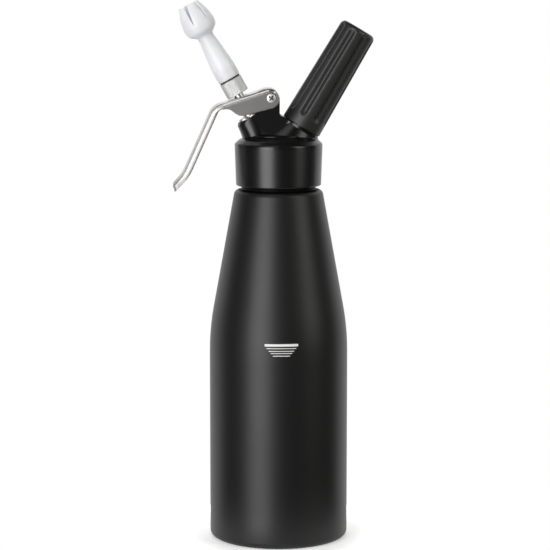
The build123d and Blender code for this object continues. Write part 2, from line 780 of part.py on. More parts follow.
def make_pivot_screw():
    head_foot = lever_width / 2 + seat_clearance
    shank_end = lever_width / 4
    screw = turned([
        (0, -shank_end, 0),
        (pivot_screw_radius, -shank_end, 0.2),
        (pivot_screw_radius, head_foot, 0),
        (pivot_head_radius, head_foot, 0.2),
        (pivot_head_radius, head_foot + pivot_head_height * 0.55, 0.6),
        (0, head_foot + pivot_head_height, 0),
    ])
    slot_height = head_foot + pivot_head_height
    recess = Box(2 * pivot_head_radius * 0.62, 0.7, 1.6) + Box(0.7, 2 * pivot_head_radius * 0.62, 1.6)
    screw -= Pos(0, 0, slot_height) * Rot(0, 0, 45) * recess
    return Location((pivot.X, 0, pivot.Z), (90, 0, 0)) * screw


def make_pivot_barrel():
    head_foot = lever_width / 2 + seat_clearance
    barrel = turned([
        (0, -head_foot - pivot_head_height, 0),
        (pivot_head_radius, -head_foot - pivot_head_height * 0.55, 0.6),
        (pivot_head_radius, -head_foot, 0.2),
        (pivot_barrel_radius, -head_foot, 0),
        (pivot_barrel_radius, head_foot - seat_clearance, 0.2),
        (pivot_screw_radius + shaft_clearance, head_foot - seat_clearance, 0),
        (pivot_screw_radius + shaft_clearance, -lever_width / 4 - 1, 0),
        (0, -lever_width / 4 - 1, 0),
    ])
    return Location((pivot.X, 0, pivot.Z), (90, 0, 0)) * barrel


def make_pivot_washers():
    low = port_radius - ear_spot_depth + seat_clearance
    washer = tube(pivot_washer_radius, pivot_bore_radius + shaft_clearance,
                  low, low + pivot_washer_thickness)
    across = Location((pivot.X, 0, pivot.Z), (90, 0, 0))
    return Compound(children=[across * washer, across * Rot(180, 0, 0) * washer])


# ---------------------------------------------------------------- charger port, along its own axis
def make_charger_spigot():
    spigot = turned([
        (spigot_bore_radius, socket_reach + seat_clearance, 0),
        (socket_radius - shaft_clearance, socket_reach + seat_clearance, 0.3),
        (socket_radius - shaft_clearance, boss_reach + seat_clearance, 0),
        (spigot_root_radius, boss_reach + seat_clearance, 0),
        (spigot_root_radius, spigot_top, 0.8),
        (spigot_bore_radius, spigot_top, 0.3),
        (spigot_bore_radius, seal_foot, 0),
        (pin_radius + shaft_clearance, seal_foot, 0),
        (pin_radius + shaft_clearance, pin_flange_top + seat_clearance, 0),
        (spigot_bore_radius, pin_flange_top + seat_clearance, 0),
    ])
    thread_foot = boss_reach + spigot_thread_pitch * 0.6
    return spigot + thread_ridge(spigot_root_radius, spigot_thread_depth, spigot_thread_pitch,
                                 spigot_thread_turns, thread_foot)


def make_piercing_pin():
    tip_foot = seal_foot - seat_clearance
    tip_top = tip_foot + pin_tip_length
    pin = turned([
        (pin_bore_radius, pin_flange_foot, 0),
        (pin_flange_radius, pin_flange_foot, 0.2),
        (pin_flange_radius, pin_flange_top, 0.2),
        (pin_radius, pin_flange_top, 0),
        (pin_radius, tip_foot, 0.2),
        (pin_tip_radius, tip_foot, 0),
        (pin_tip_radius, tip_top - 0.8, 0),
        (pin_bore_radius * 0.6, tip_top, 0),
        (pin_bore_radius * 0.6, tip_foot, 0),
        (pin_bore_radius, tip_foot - 1, 0),
    ])
    return pin


def make_pin_nut():
    low = socket_reach + 2 * seat_clearance
    return tube(spigot_bore_radius - shaft_clearance, pin_bore_radius * 2, low, low + pin_nut_height, 0.2)


def make_charger_seal():
    low = seal_foot + seat_clearance
    return tube(spigot_bore_radius - 2 * shaft_clearance, pin_tip_radius + shaft_clearance, low,
                low + charger_seal_thickness, 0.3)


def make_check_valve():
    roof = recess_roof
    bill = turned([
        (0, roof - duckbill_length, 0),
        (0.9, roof - duckbill_length, 0.2),
        (2.9, roof - 1.3, 0.3),
        (duckbill_flange_radius, roof - 1.3, 0.3),
        (duckbill_flange_radius, roof - seat_clearance, 0),
        (duckbill_radius, roof - seat_clearance, 0),
        (duckbill_radius, roof + duckbill_socket_depth - 2 * seat_clearance, 0.3),
        (gas_hole_radius, roof + duckbill_socket_depth - 2 * seat_clearance, 0),
        (gas_hole_radius, roof, 0),
        (0, roof - 2.5, 0),
    ])
    slit = Pos(0, 0, roof - duckbill_length) * Box(0.15, 1.2, 8)
    return Pos(duckbill_offset, 0, 0) * (bill - slit)


def make_gas_charger():
    shoulder = charger_tip + charger_neck_length
    end = charger_tip + charger_length
    body = turned([
        (0, charger_tip, 0),
        (charger_neck_radius, charger_tip, 0.6),
        (charger_neck_radius, shoulder, 2.5),
        (charger_radius, shoulder + 5.5, 6),
        (charger_radius, end, 7.5),
        (0, end, 0),
    ])
    wall = charger_wall
    bore = turned([
        (0, charger_tip + 2 * wall, 0),
        (charger_neck_radius - 2 * wall, charger_tip + 2 * wall, 0),
        (charger_neck_radius - 2 * wall, shoulder + wall, 1),
        (charger_radius - wall, shoulder + 5.5 + wall, 4),
        (charger_radius - wall, end - wall, 6),
        (0, end - wall, 0),
    ])
    return body - bore - rod(pierced_hole_radius, charger_tip - 1, charger_tip + 3 * wall)


def make_charger_holder():
    end = holder_foot + holder_length
    bore_end = charger_tip + charger_length + 2 * seat_clearance
    shell = turned([
        (holder_thread_bore, holder_foot, 0.4),
        (holder_base_radius, holder_foot, 0.6),
        (holder_top_radius, end, holder_edge_round),
        (0, end, 0),
        (0, bore_end, 0),
        (charger_bore_radius, bore_end, 7.5),
        (charger_bore_radius, spigot_top + moving_gap, 0.5),
        (holder_thread_bore, spigot_top + moving_gap, 0),
    ])
    sagitta = holder_groove_width ** 2 / (8 * (holder_base_radius + holder_top_radius) / 2)
    dip = holder_groove_depth - sagitta
    cutter_radius = (holder_groove_width ** 2 / 4 + dip ** 2) / (2 * dip)
    lean = math.degrees(math.atan((holder_base_radius - holder_top_radius) / holder_length))
    end_back = math.sqrt(cutter_radius ** 2 - (cutter_radius - holder_groove_depth) ** 2)
    groove_low = holder_groove_foot + end_back
    groove_high = holder_length - holder_edge_round - holder_groove_head
    track = holder_base_radius - holder_groove_depth + cutter_radius
    capsule = rod(cutter_radius, groove_low, groove_high)
    for level in (groove_low, groove_high):
        capsule += Pos(0, 0, level) * Sphere(cutter_radius)
    groove = Pos(0, -track, holder_foot) * Rot(-lean, 0, 0) * capsule
    for i in range(holder_groove_count):
        shell -= Rot(0, 0, -holder_groove_turn + 360 / holder_groove_count * i) * groove
    return shell


# ---------------------------------------------------------------- write the parts
os.makedirs("parts", exist_ok=True)


def write_part(name, shape, frame=None):
    """Place a piece in the whole object's frame, name it and write its file."""
    placed = frame.location * shape if frame else shape
    placed.label = name
    export_step(placed, os.path.join("parts", name + ".step"))
    print(name, len(placed.solids()), "solids,", round(placed.volume, 1), "mm3")


write_part("bottle", make_bottle())
write_part("head_gasket", make_head_gasket())
write_part("head_body", make_head_body())
write_part("knurled_nut", make_knurled_nut(), valve_frame)
write_part("guide_bush", make_guide_bush(), valve_frame)
write_part("stem_o_ring", make_stem_o_ring(), valve_frame)
write_part("bush_gasket", make_bush_gasket(), valve_frame)
write_part("spring_seat", make_spring_seat(), valve_frame)
write_part("valve_spring", make_valve_spring(), valve_frame)
write_part("valve_seat", make_valve_seat(), valve_frame)
write_part("valve_stem", make_valve_stem(), valve_frame)
write_part("stem_plug", make_stem_plug(), valve_frame)
write_part("plug_nut", make_plug_nut(), valve_frame)
write_part("thrust_washer", make_thrust_washer(), valve_frame)
write_part("stem_clip", make_stem_clip(), valve_frame)
write_part("nozzle_adapter", make_nozzle_adapter(), valve_frame)
write_part("nozzle_ring", make_nozzle_ring(), valve_frame)
write_part("tulip_nozzle", make_nozzle(), valve_frame)
write_part("lever", make_lever())
write_part("pivot_screw", make_pivot_screw())
write_part("pivot_barrel", make_pivot_barrel())
write_part("pivot_washers", make_pivot_washers())
write_part("charger_spigot", make_charger_spigot(), charger_frame)
write_part("piercing_pin", make_piercing_pin(), charger_frame)
write_part("pin_nut", make_pin_nut(), charger_frame)
write_part("charger_seal", make_charger_seal(), charger_frame)
write_part("check_valve", make_check_valve())
write_part("gas_charger", make_gas_charger(), charger_frame)
write_part("charger_holder", make_charger_holder(), charger_frame)
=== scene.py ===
import bmesh
import bpy
import numpy as np
from math import radians
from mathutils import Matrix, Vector


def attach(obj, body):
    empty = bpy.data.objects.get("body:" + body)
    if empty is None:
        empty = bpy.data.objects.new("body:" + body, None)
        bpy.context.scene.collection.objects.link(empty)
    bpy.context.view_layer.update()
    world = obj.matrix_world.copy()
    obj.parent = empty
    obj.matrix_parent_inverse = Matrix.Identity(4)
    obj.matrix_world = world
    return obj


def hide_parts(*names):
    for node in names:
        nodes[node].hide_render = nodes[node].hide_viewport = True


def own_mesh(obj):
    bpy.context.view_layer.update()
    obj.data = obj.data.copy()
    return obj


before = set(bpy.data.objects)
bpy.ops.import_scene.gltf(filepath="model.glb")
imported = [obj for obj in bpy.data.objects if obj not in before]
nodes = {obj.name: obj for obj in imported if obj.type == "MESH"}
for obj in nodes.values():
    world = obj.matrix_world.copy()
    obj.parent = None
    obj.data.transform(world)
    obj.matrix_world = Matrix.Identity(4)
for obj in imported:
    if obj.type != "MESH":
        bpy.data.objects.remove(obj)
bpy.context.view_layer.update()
mm = 0.001      # shapes are worked out in millimetres
fullTurn = 2 * np.pi

# the two ports lean away from the bottle: where each axis starts, and how far it leans from upright
valvePort = {"start": (-19.404, 0.0, 294.878), "lean": -29.3}
chargerPort = {"start": (0.0, 0.0, 261.6), "lean": 30.7}
bottleAxis = {"start": (0.0, 0.0, 0.0), "lean": 0.0}
pivotSpot = (-5.473, 307.855)   # x and z of the lever's pivot
collarTop = 275.9


# surfaces

# A grid of points (rows, columns, 3) becomes a mesh of quads. Each row is a closed ring or an open line, and
# keep says which quads stay.
def gridMesh(name, points, closed=True, flip=False, keep=None):
    rows, columns = points.shape[:2]
    index = np.arange(rows * columns).reshape(rows, columns)
    if closed:
        index = np.hstack([index, index[:, :1]])
    quads = np.stack([index[:-1, :-1], index[1:, :-1], index[1:, 1:], index[:-1, 1:]], axis=-1)
    if keep is not None:
        quads = quads[keep]
    quads = quads.reshape(-1, 4)
    if flip:
        quads = quads[:, ::-1]
    mesh = bpy.data.meshes.new(name)
    mesh.from_pydata((points.reshape(-1, 3) * mm).tolist(), [], quads.tolist())
    mesh.polygons.foreach_set("use_smooth", np.ones(len(quads), bool))
    mesh.update()
    return mesh


# Makes a mesh an object of the same name, in the finish that is named.
def addPiece(mesh, finish=None):
    piece = bpy.data.objects.new(mesh.name, mesh)
    bpy.context.scene.collection.objects.link(piece)
    if finish:
        mesh.materials.append(finishes[finish])
    return piece


# Merges points that lie on each other, closes what is still open and turns the faces outwards.
def closeUp(mesh, distance=0.002):
    work = bmesh.new()
    work.from_mesh(mesh)
    bmesh.ops.remove_doubles(work, verts=work.verts, dist=distance * mm)
    bmesh.ops.dissolve_degenerate(work, edges=work.edges, dist=distance * mm)
    openEdges = [edge for edge in work.edges if edge.is_boundary]
    bmesh.ops.holes_fill(work, edges=openEdges, sides=0)
    bmesh.ops.recalc_face_normals(work, faces=work.faces)
    work.to_mesh(mesh)
    work.free()
    return mesh


# Rises from 0 at low to 1 at high: share * share * (3 - 2 * share).
def smoothStep(low, high, value):
    share = np.clip((value - low) / (high - low), 0, 1)
    return share * share * (3 - 2 * share)


# How full a wall is at a distance from its free edge: a quarter ellipse, 0 at the edge, 1 from size on.
def roundness(distance, size):
    return np.sqrt(1 - (1 - np.clip(distance / size, 0, 1)) ** 2)


# Directions divided by their own length.
def unit(directions):
    return directions / np.linalg.norm(directions, axis=-1, keepdims=True)


# Even steps round a full turn: 2 pi * step / count.
def turnSteps(count):
    return np.linspace(0, fullTurn, count, endpoint=False)


# Points round an upright axis: (radius * cos angle, radius * sin angle, height).
def aroundAxis(radius, angle, height):
    return np.stack(np.broadcast_arrays(radius * np.cos(angle), radius * np.sin(angle), height), axis=-1)


# Points round the lever's pivot, whose axis runs from front to back: sideways is their y.
def aroundPivot(radius, angle, sideways):
    across = pivotSpot[0] + radius * np.cos(angle)
    up = pivotSpot[1] + radius * np.sin(angle)
    return np.stack(np.broadcast_arrays(across, sideways, up), axis=-1)


# A port's three directions: across it, to the back and along it.
def portAxes(port):
    lean = radians(port["lean"])
    return np.array([[np.cos(lean), 0, -np.sin(lean)], [0, 1, 0], [np.sin(lean), 0, np.cos(lean)]])


# Turns local points (x, y, z) into the object's own frame: start + x * across + y * back + z * along.
def onPort(points, port):
    across, back, along = portAxes(port)
    return (np.array(port["start"]) + points[..., :1] * across + points[..., 1:2] * back
            + points[..., 2:3] * along)


# Corners (across, up, round) joined by straight runs, each corner cut by an arc that touches both runs:
# spot = middle + (sin((1 - share) * sweep) * first + sin(share * sweep) * last) / sin(sweep).
def roundedPath(corners, arcSteps=8):
    spots = np.array([corner[:2] for corner in corners], float)
    parts = []
    for i, (spot, size) in enumerate(zip(spots, [corner[2] for corner in corners])):
        if i in (0, len(spots) - 1) or size <= 0:
            parts.append(spot[None])
            continue
        before, after = unit(spots[i - 1] - spot), unit(spots[i + 1] - spot)
        half = np.arccos(np.clip(before @ after, -1, 1)) / 2
        middle = spot + unit(before + after) * size / np.sin(half)
        first = spot + before * size / np.tan(half) - middle
        last = spot + after * size / np.tan(half) - middle
        sweep = np.pi - 2 * half
        share = np.linspace(0, 1, arcSteps + 1)[:, None]
        arc = (np.sin((1 - share) * sweep) * first + np.sin(share * sweep) * last) / np.sin(sweep)
        parts.append(middle + arc)
    return np.vstack(parts)


# Length from a path's start to each of its points.
def pathLengths(path):
    return np.concatenate([[0], np.cumsum(np.linalg.norm(np.diff(path, axis=0), axis=1))])


# Spots on a path at the lengths that are asked for.
def alongPath(path, lengths):
    total = pathLengths(path)
    return np.stack([np.interp(lengths, total, path[:, 0]), np.interp(lengths, total, path[:, 1])], axis=-1)


# Spots on a path, and the direction to its right there, from spots a step before and behind.
def besidePath(path, lengths, step):
    ahead = unit(alongPath(path, lengths + step) - alongPath(path, lengths - step))
    return alongPath(path, lengths), np.stack([ahead[..., 1], -ahead[..., 0]], axis=-1)


# Length at which a path comes nearest to a spot.
def nearest(path, spot):
    return pathLengths(path)[np.argmin(np.linalg.norm(path - spot, axis=1))]


# Puts rows at most step apart along a profile, so that a relief has points to move.
def divided(profile, step):
    spans = np.linalg.norm(np.diff(profile, axis=0), axis=1)
    counts = np.maximum(1, np.ceil(spans / step).astype(int))
    parts = [profile[i] + (profile[i + 1] - profile[i]) * np.arange(count)[:, None] / count
             for i, count in enumerate(counts)]
    return np.vstack(parts + [profile[-1:]])


# A profile of (radius, height) carried round the port's axis. A function of angle and height may move
# the radius: radius + relief(angle, radius, height).
def lathe(name, profile, columns, port, relief=None):
    angle = turnSteps(columns)[None]
    radius, height = profile[:, :1], profile[:, 1:]
    reach = radius + relief(angle, radius, height) if relief else radius
    return closeUp(gridMesh(name, onPort(aroundAxis(reach, angle, height), port)))


# camera and lamps
camera = {"place": (-67.9, -1620.6, 411.0), "pitch": 7.96, "turn": -2.312, "lens": 154.1}

lens = bpy.data.cameras.new("camera")
lens.lens = camera["lens"]
lens.sensor_width = 36
lens.clip_end = 20
cameraObject = bpy.data.objects.new("camera", lens)
cameraObject.location = Vector(camera["place"]) * mm
cameraObject.rotation_euler = (radians(90 - camera["pitch"]), 0, radians(camera["turn"]))
bpy.context.scene.collection.objects.link(cameraObject)
bpy.context.scene.camera = cameraObject
bpy.context.scene.view_settings.view_transform = "Standard"

lamps = {
    # azimuth is counted from the front towards the right; height, distance, size and the height aimed at are
    # in metres; the back panel isn't mirrored in the cap
    "keyBox": {"azimuth": -34, "height": 0.27, "distance": 1.5, "size": (0.86, 1.5), "aim": 0.25,
               "watts": 22, "tint": (0.99, 0.975, 1.0), "mirrored": True},
    "fillStrip": {"azimuth": 56, "height": 0.80, "distance": 1.4, "size": (0.62, 1.5), "aim": 0.3,
                  "watts": 7.6, "tint": (0.98, 1.0, 0.91), "mirrored": True},
    "topPanel": {"azimuth": -40, "height": 1.8, "distance": 0.78, "size": (0.85, 0.85), "aim": 0.3,
                 "watts": 2.8, "tint": (1.0, 1.0, 1.0), "mirrored": True},
    "backPanel": {"azimuth": 180, "height": 1.5, "distance": 1.0, "size": (1.2, 0.8), "aim": 0.2,
                  "watts": 14, "tint": (1.0, 1.0, 1.0), "mirrored": False},
}


# A rectangle of light on a circle round the object, turned to a height on the bottle's axis.
def addLamp(name, spec):
    light = bpy.data.lights.new(name, "AREA")
    light.shape = "RECTANGLE"
    light.size, light.size_y = spec["size"]
    light.energy = spec["watts"]
    light.color = spec["tint"]
    lamp = bpy.data.objects.new(name, light)
    turn = radians(spec["azimuth"])
    lamp.location = (np.sin(turn) * spec["distance"], -np.cos(turn) * spec["distance"], spec["height"])
    aim = Vector((0, 0, spec["aim"])) - lamp.location
    lamp.rotation_euler = aim.to_track_quat("-Z", "Y").to_euler()
    lamp.visible_camera = False
    lamp.visible_glossy = spec["mirrored"]
    bpy.context.scene.collection.objects.link(lamp)


for name, spec in lamps.items():
    addLamp(name, spec)
print("camera and lamps ready")


# shader nodes

# Links a socket to another node's output, or sets it to a plain value.
def feed(tree, socket, value):
    if isinstance(value, bpy.types.NodeSocket):
        tree.links.new(value, socket)
    else:
        socket.default_value = value


def feedAll(tree, node, **values):
    for label, value in values.items():
        feed(tree, node.inputs[label], value)
    return node


def mathNode(tree, operation, *values):
    node = tree.nodes.new("ShaderNodeMath")
    node.operation = operation
    for socket, value in zip(node.inputs, values):
        feed(tree, socket, value)
    return node.outputs[0]


# X, Y and Z of a place.
def splitPlace(tree, place):
    node = tree.nodes.new("ShaderNodeSeparateXYZ")
    tree.links.new(place, node.inputs[0])
    return node.outputs


# Takes a value from one pair of ends to another.
def mapRange(tree, value, fromEnds, toEnds, kind="LINEAR"):
    node = tree.nodes.new("ShaderNodeMapRange")
    node.interpolation_type = kind
    labels = ("Value", "From Min", "From Max", "To Min", "To Max")
    for label, given in zip(labels, (value, *fromEnds, *toEnds)):
        feed(tree, node.inputs[label], given)
    return node.outputs["Result"]


def mixColour(tree, factor, first, second):
    node = tree.nodes.new("ShaderNodeMix")
    node.data_type = "RGBA"
    return feedAll(tree, node, Factor=factor, A=first, B=second).outputs["Result"]


def bumpNode(tree, height, strength, distance):
    node = tree.nodes.new("ShaderNodeBump")
    return feedAll(tree, node, Height=height, Strength=strength, Distance=distance).outputs["Normal"]


# Moves a value by noise: middle + (noise - 0.5) * spread.
def scattered(tree, noise, spread, middle):
    return mathNode(tree, "MULTIPLY_ADD", mathNode(tree, "SUBTRACT", noise, 0.5), spread, middle)


def startMaterial(name, colour, metallic=0.0):
    material = bpy.data.materials.new(name)
    material.use_nodes = True
    tree = material.node_tree
    shader = tree.nodes["Principled BSDF"]
    shader.inputs["Base Color"].default_value = (*colour, 1)
    shader.inputs["Metallic"].default_value = metallic
    place = tree.nodes.new("ShaderNodeTexCoord").outputs["Object"]
    return material, tree, shader, place


# A group that takes a place and some numbers, and gives a roughness and a normal.
def newGroup(name, **numbers):
    group = bpy.data.node_groups.new(name, "ShaderNodeTree")
    group.interface.new_socket("Place", in_out="INPUT", socket_type="NodeSocketVector")
    for label, value in numbers.items():
        socket = group.interface.new_socket(label, in_out="INPUT", socket_type="NodeSocketFloat")
        socket.default_value = value
    group.interface.new_socket("Roughness", in_out="OUTPUT", socket_type="NodeSocketFloat")
    group.interface.new_socket("Normal", in_out="OUTPUT", socket_type="NodeSocketVector")
    return group, group.nodes.new("NodeGroupInput").outputs, group.nodes.new("NodeGroupOutput")


# Puts such a group into a material, before its shader.
def useGroup(tree, group, place, shader, **values):
    node = tree.nodes.new("ShaderNodeGroup")
    node.node_tree = group
    feedAll(tree, node, Place=place, **values)
    feedAll(tree, shader, Roughness=node.outputs["Roughness"], Normal=node.outputs["Normal"])
    return node


# Fine grain of a painted, cast or moulded skin: small noise lifts the surface and spreads the gloss,
# and a much larger noise gives the gloss slow patches, as from handling.
def makeGrain():
    group, given, result = newGroup(
        "skinGrain", Grains=2500.0, Lift=0.1, Gloss=0.4, Spread=0.05, Patches=0.03)
    fine = group.nodes.new("ShaderNodeTexNoise")
    feedAll(group, fine, Vector=given["Place"], Scale=given["Grains"], Detail=3)
    slow = group.nodes.new("ShaderNodeTexNoise")
    feedAll(group, slow, Vector=given["Place"], Scale=28, Detail=4)
    spread = scattered(group, fine.outputs["Fac"], given["Spread"], given["Gloss"])
    rough = scattered(group, slow.outputs["Fac"], given["Patches"], spread)
    lifted = bumpNode(group, fine.outputs["Fac"], given["Lift"], 0.2 * mm)
    feedAll(group, result, Roughness=rough, Normal=lifted)
    return group


# Turning marks: rings square to the piece's own axis, from a noise that only changes along it, where
# along = x * sin lean + z * cos lean.
def makeTurned():
    group, given, result = newGroup("turningMarks", Lean=0.0, Rings=4000.0, Lift=0.15, Gloss=0.25)
    spot = splitPlace(group, given["Place"])
    sideways = mathNode(group, "MULTIPLY", spot["X"], mathNode(group, "SINE", given["Lean"]))
    upwards = mathNode(group, "MULTIPLY", spot["Z"], mathNode(group, "COSINE", given["Lean"]))
    rings = group.nodes.new("ShaderNodeTexNoise")
    rings.noise_dimensions = "1D"
    feedAll(group, rings, W=mathNode(group, "ADD", sideways, upwards), Scale=given["Rings"], Detail=2)
    rough = scattered(group, rings.outputs["Fac"], 0.15, given["Gloss"])
    lifted = bumpNode(group, rings.outputs["Fac"], given["Lift"], 0.05 * mm)
    feedAll(group, result, Roughness=rough, Normal=lifted)
    return group


skinGrain = makeGrain()
turningMarks = makeTurned()
print("groups ready")


# materials
skins = {
    # a grain's number that is missing is the group's own, or changes over the piece
    "bottlePaint": {"colour": (0.004, 0.004, 0.004), "specular": 0.45, "Grains": 2600.0, "Lift": 0.12,
                    "Gloss": 0.42, "Spread": 0.08, "Patches": 0.05},
    "castBlack": {"colour": (0.003, 0.003, 0.003), "Grains": 1500.0, "Spread": 0.06},
    "holderBlack": {"colour": (0.0055, 0.0055, 0.0048), "specular": 0.72, "Grains": 1600.0, "Lift": 0.16,
                    "Gloss": 0.46, "Spread": 0.08},
    "nozzleWhite": {"colour": (0.80, 0.81, 0.835), "Grains": 900.0, "Lift": 0.03, "Gloss": 0.4,
                    "Spread": 0.03},
    "sealBlack": {"colour": (0.02, 0.02, 0.02), "Grains": 1500.0, "Lift": 0.1, "Gloss": 0.6, "Spread": 0.1},
    "sealPale": {"colour": (0.62, 0.60, 0.56), "Grains": 1200.0, "Lift": 0.05, "Gloss": 0.5, "Spread": 0.06},
    "polished": {"colour": (0.76, 0.75, 0.73), "metallic": 1.0, "Grains": 700.0, "Lift": 0.02,
                 "Spread": 0.05},
    "screwSteel": {"colour": (0.86, 0.85, 0.82), "metallic": 1.0, "Grains": 900.0, "Lift": 0.03,
                   "Gloss": 0.5, "Spread": 0.05},
    "knurledSteel": {"colour": (0.70, 0.70, 0.695), "metallic": 1.0, "Grains": 1200.0, "Lift": 0.02,
                     "Gloss": 0.55, "Spread": 0.04},
    "springSteel": {"colour": (0.6, 0.6, 0.6), "metallic": 1.0, "Grains": 1500.0, "Lift": 0.05,
                    "Gloss": 0.25},
}
turnedMetals = {
    # colour, the port whose axis the piece was turned on, and the gloss value
    # painted shade: the spigot's steel is made dark grey, as the gap round it lies in shadow
    "spigotShadeGrey": {"colour": (0.30, 0.30, 0.30), "port": chargerPort, "Gloss": 0.42},
    "valveSteel": {"colour": (0.58, 0.58, 0.57), "port": valvePort, "Gloss": 0.34},
    "chargerSteel": {"colour": (0.62, 0.62, 0.62), "port": chargerPort, "Gloss": 0.3},
    "pinBrass": {"colour": (0.72, 0.52, 0.25), "port": chargerPort, "Gloss": 0.25},
}


# Grained skin of one colour. Its nodes are given back too, for the finishes that build on it.
def skinNodes(name, colour, metallic=0.0, specular=0.5, **grain):
    material, tree, shader, place = startMaterial(name, colour, metallic)
    shader.inputs["Specular IOR Level"].default_value = specular
    return material, tree, shader, place, useGroup(tree, skinGrain, place, shader, **grain)


# Metal with turning marks round its port's axis.
def turnedMetal(name, colour, port, **marks):
    material, tree, shader, place = startMaterial(name, colour, 1.0)
    useGroup(tree, turningMarks, place, shader, Lean=radians(port["lean"]), **marks)
    return material


fillMark = {
    "colour": (0.72, 0.72, 0.7), "front": -20,      # drawn where y is less than this
    # height, half width and half thickness of the bar and of the lines below it
    "bars": [(142.55, 11.4, 0.86), (140.35, 10.15, 0.26), (138.5, 8.65, 0.26), (137.0, 7.3, 0.26),
             (135.25, 5.85, 0.26)],
}
bottleNeck = {"foot": 244.1, "bareFrom": 247.4, "bareColour": (0.5, 0.5, 0.5), "shadedFootSpecular": 0.03}


# Satin black paint. The mark is where the height and the sideways place fall inside a bar, on the front. The
# foot of the neck reflects almost nothing, as painted shade in the gap under the collar, and above it the
# neck is bare aluminium.
def bottlePaint():
    spec = skins["bottlePaint"]
    material, tree, shader, place, skin = skinNodes("bottlePaint", **spec)
    spot = splitPlace(tree, place)
    mask = 0.0
    for height, halfWidth, halfThick in fillMark["bars"]:
        inHeight = mathNode(tree, "COMPARE", spot["Z"], height * mm, halfThick * mm)
        inWidth = mathNode(tree, "COMPARE", spot["X"], 0.0, halfWidth * mm)
        mask = mathNode(tree, "MULTIPLY_ADD", inHeight, inWidth, mask)
    onFront = mathNode(tree, "LESS_THAN", spot["Y"], fillMark["front"] * mm)
    mask = mathNode(tree, "MULTIPLY", mask, onFront)
    painted = mixColour(tree, mask, (*spec["colour"], 1), (*fillMark["colour"], 1))
    neck = mathNode(tree, "GREATER_THAN", spot["Z"], bottleNeck["foot"] * mm)
    bare = mathNode(tree, "GREATER_THAN", spot["Z"], bottleNeck["bareFrom"] * mm)
    colour = mixColour(tree, bare, painted, (*bottleNeck["bareColour"], 1))
    # painted shade: the specular level falls to almost nothing on the neck's foot, in the gap under the
    # collar
    change = bottleNeck["shadedFootSpecular"] - spec["specular"]
    level = mathNode(tree, "MULTIPLY_ADD", mathNode(tree, "SUBTRACT", neck, bare), change, spec["specular"])
    feed(tree, shader.inputs["Base Color"], colour)
    feed(tree, shader.inputs["Metallic"], bare)
    feed(tree, shader.inputs["Specular IOR Level"], level)
    return material


castFade = {"from": 3, "to": 1, "Gloss": (0.31, 0.26), "Lift": (0.2, 0.05)}


# Black paint on the casting, blasted on the collar: just below the collar's upper edge, the gloss value and
# the lift of the grain fall from the collar's to the cap's.
def castBlack():
    material, tree, shader, place, skin = skinNodes("castBlack", **skins["castBlack"])
    height = splitPlace(tree, place)["Z"]
    ends = (collarTop - castFade["from"]) * mm, (collarTop - castFade["to"]) * mm
    for label in ("Gloss", "Lift"):
        feed(tree, skin.inputs[label], mapRange(tree, height, ends, castFade[label]))
    return material


# White plastic lets some light through, so thin petals stay bright inside.
def nozzleWhite():
    material, tree, shader, place, skin = skinNodes("nozzleWhite", **skins["nozzleWhite"])
    shader.inputs["Subsurface Weight"].default_value = 0.8
    shader.inputs["Subsurface Radius"].default_value = (1, 1, 1)
    shader.inputs["Subsurface Scale"].default_value = 6 * mm
    return material


# both changes go from one x to another, in metres: the gloss is wear, the tip's darker colour is painted
# shade
leverWearAndShade = {"arm": (-0.038, -0.047), "gloss": (0.29, 0.57), "tip": (-0.0655, -0.0725),
             "tipShadeColour": (0.47, 0.46, 0.45)}


# Polished steel that hands have dulled on the arm: the gloss value grows from the bend outwards along x, and
# near the tip the colour darkens the same way: painted shade on the tip's end.
def leverSteel():
    spec = skins["polished"]
    material, tree, shader, place, skin = skinNodes("polished", **spec)
    across = splitPlace(tree, place)["X"]
    feed(tree, skin.inputs["Gloss"], mapRange(tree, across, leverWearAndShade["arm"], leverWearAndShade["gloss"]))
    # painted shade: towards the tip's end the colour darkens
    atTip = mapRange(tree, across, leverWearAndShade["tip"], (0, 1))
    colour = mixColour(tree, atTip, (*spec["colour"], 1), (*leverWearAndShade["tipShadeColour"], 1))
    feed(tree, shader.inputs["Base Color"], colour)
    return material


# the screw's finish and its mesh, further down, share these
screw = {
    "shankRadius": 1.5, "shankEnd": -6.0, "headFoot": 12.05, "headRadius": 3.1, "headHeight": 1.5,
    "domeFrom": 0.5, "cross": 0.55, "crossReach": 2.1, "crossTurn": 36.0, "crossDepth": 0.9,
    "crossSoft": 0.12, "crossEnd": 0.3, "shadeReach": 0.93, "shadeFrom": 12.1, "recessShadeColour": (0.16, 0.14, 0.12),
}


# Bright steel with painted shade in the cross recess: the place is centred on the pivot and turned with the
# cross, and the mask of that shade is 1 where one side is within the cross's half width and the other within
# its reach.
def screwSteel():
    spec = skins["screwSteel"]
    material, tree, shader, place, skin = skinNodes("screwSteel", **spec)
    centred = tree.nodes.new("ShaderNodeMapping")
    centred.vector_type = "TEXTURE"
    centre = (pivotSpot[0] * mm, 0, pivotSpot[1] * mm)
    feedAll(tree, centred, Vector=place, Location=centre, Rotation=(0, radians(screw["crossTurn"]), 0))
    spot = splitPlace(tree, centred.outputs["Vector"])
    arms = []
    for across, along in (("X", "Z"), ("Z", "X")):
        inWidth = mathNode(tree, "COMPARE", spot[across], 0.0, screw["cross"] * mm)
        inReach = mathNode(tree, "COMPARE", spot[along], 0.0, screw["crossReach"] * screw["shadeReach"] * mm)
        arms.append(mathNode(tree, "MULTIPLY", inWidth, inReach))
    # painted shade: the cross recess on the face gets a dark colour
    onFace = mathNode(tree, "LESS_THAN", spot["Y"], -screw["shadeFrom"] * mm)
    mask = mathNode(tree, "MULTIPLY", mathNode(tree, "MAXIMUM", *arms), onFace)
    colour = mixColour(tree, mask, (*spec["colour"], 1), (*screw["recessShadeColour"], 1))
    feed(tree, shader.inputs["Base Color"], colour)
    return material


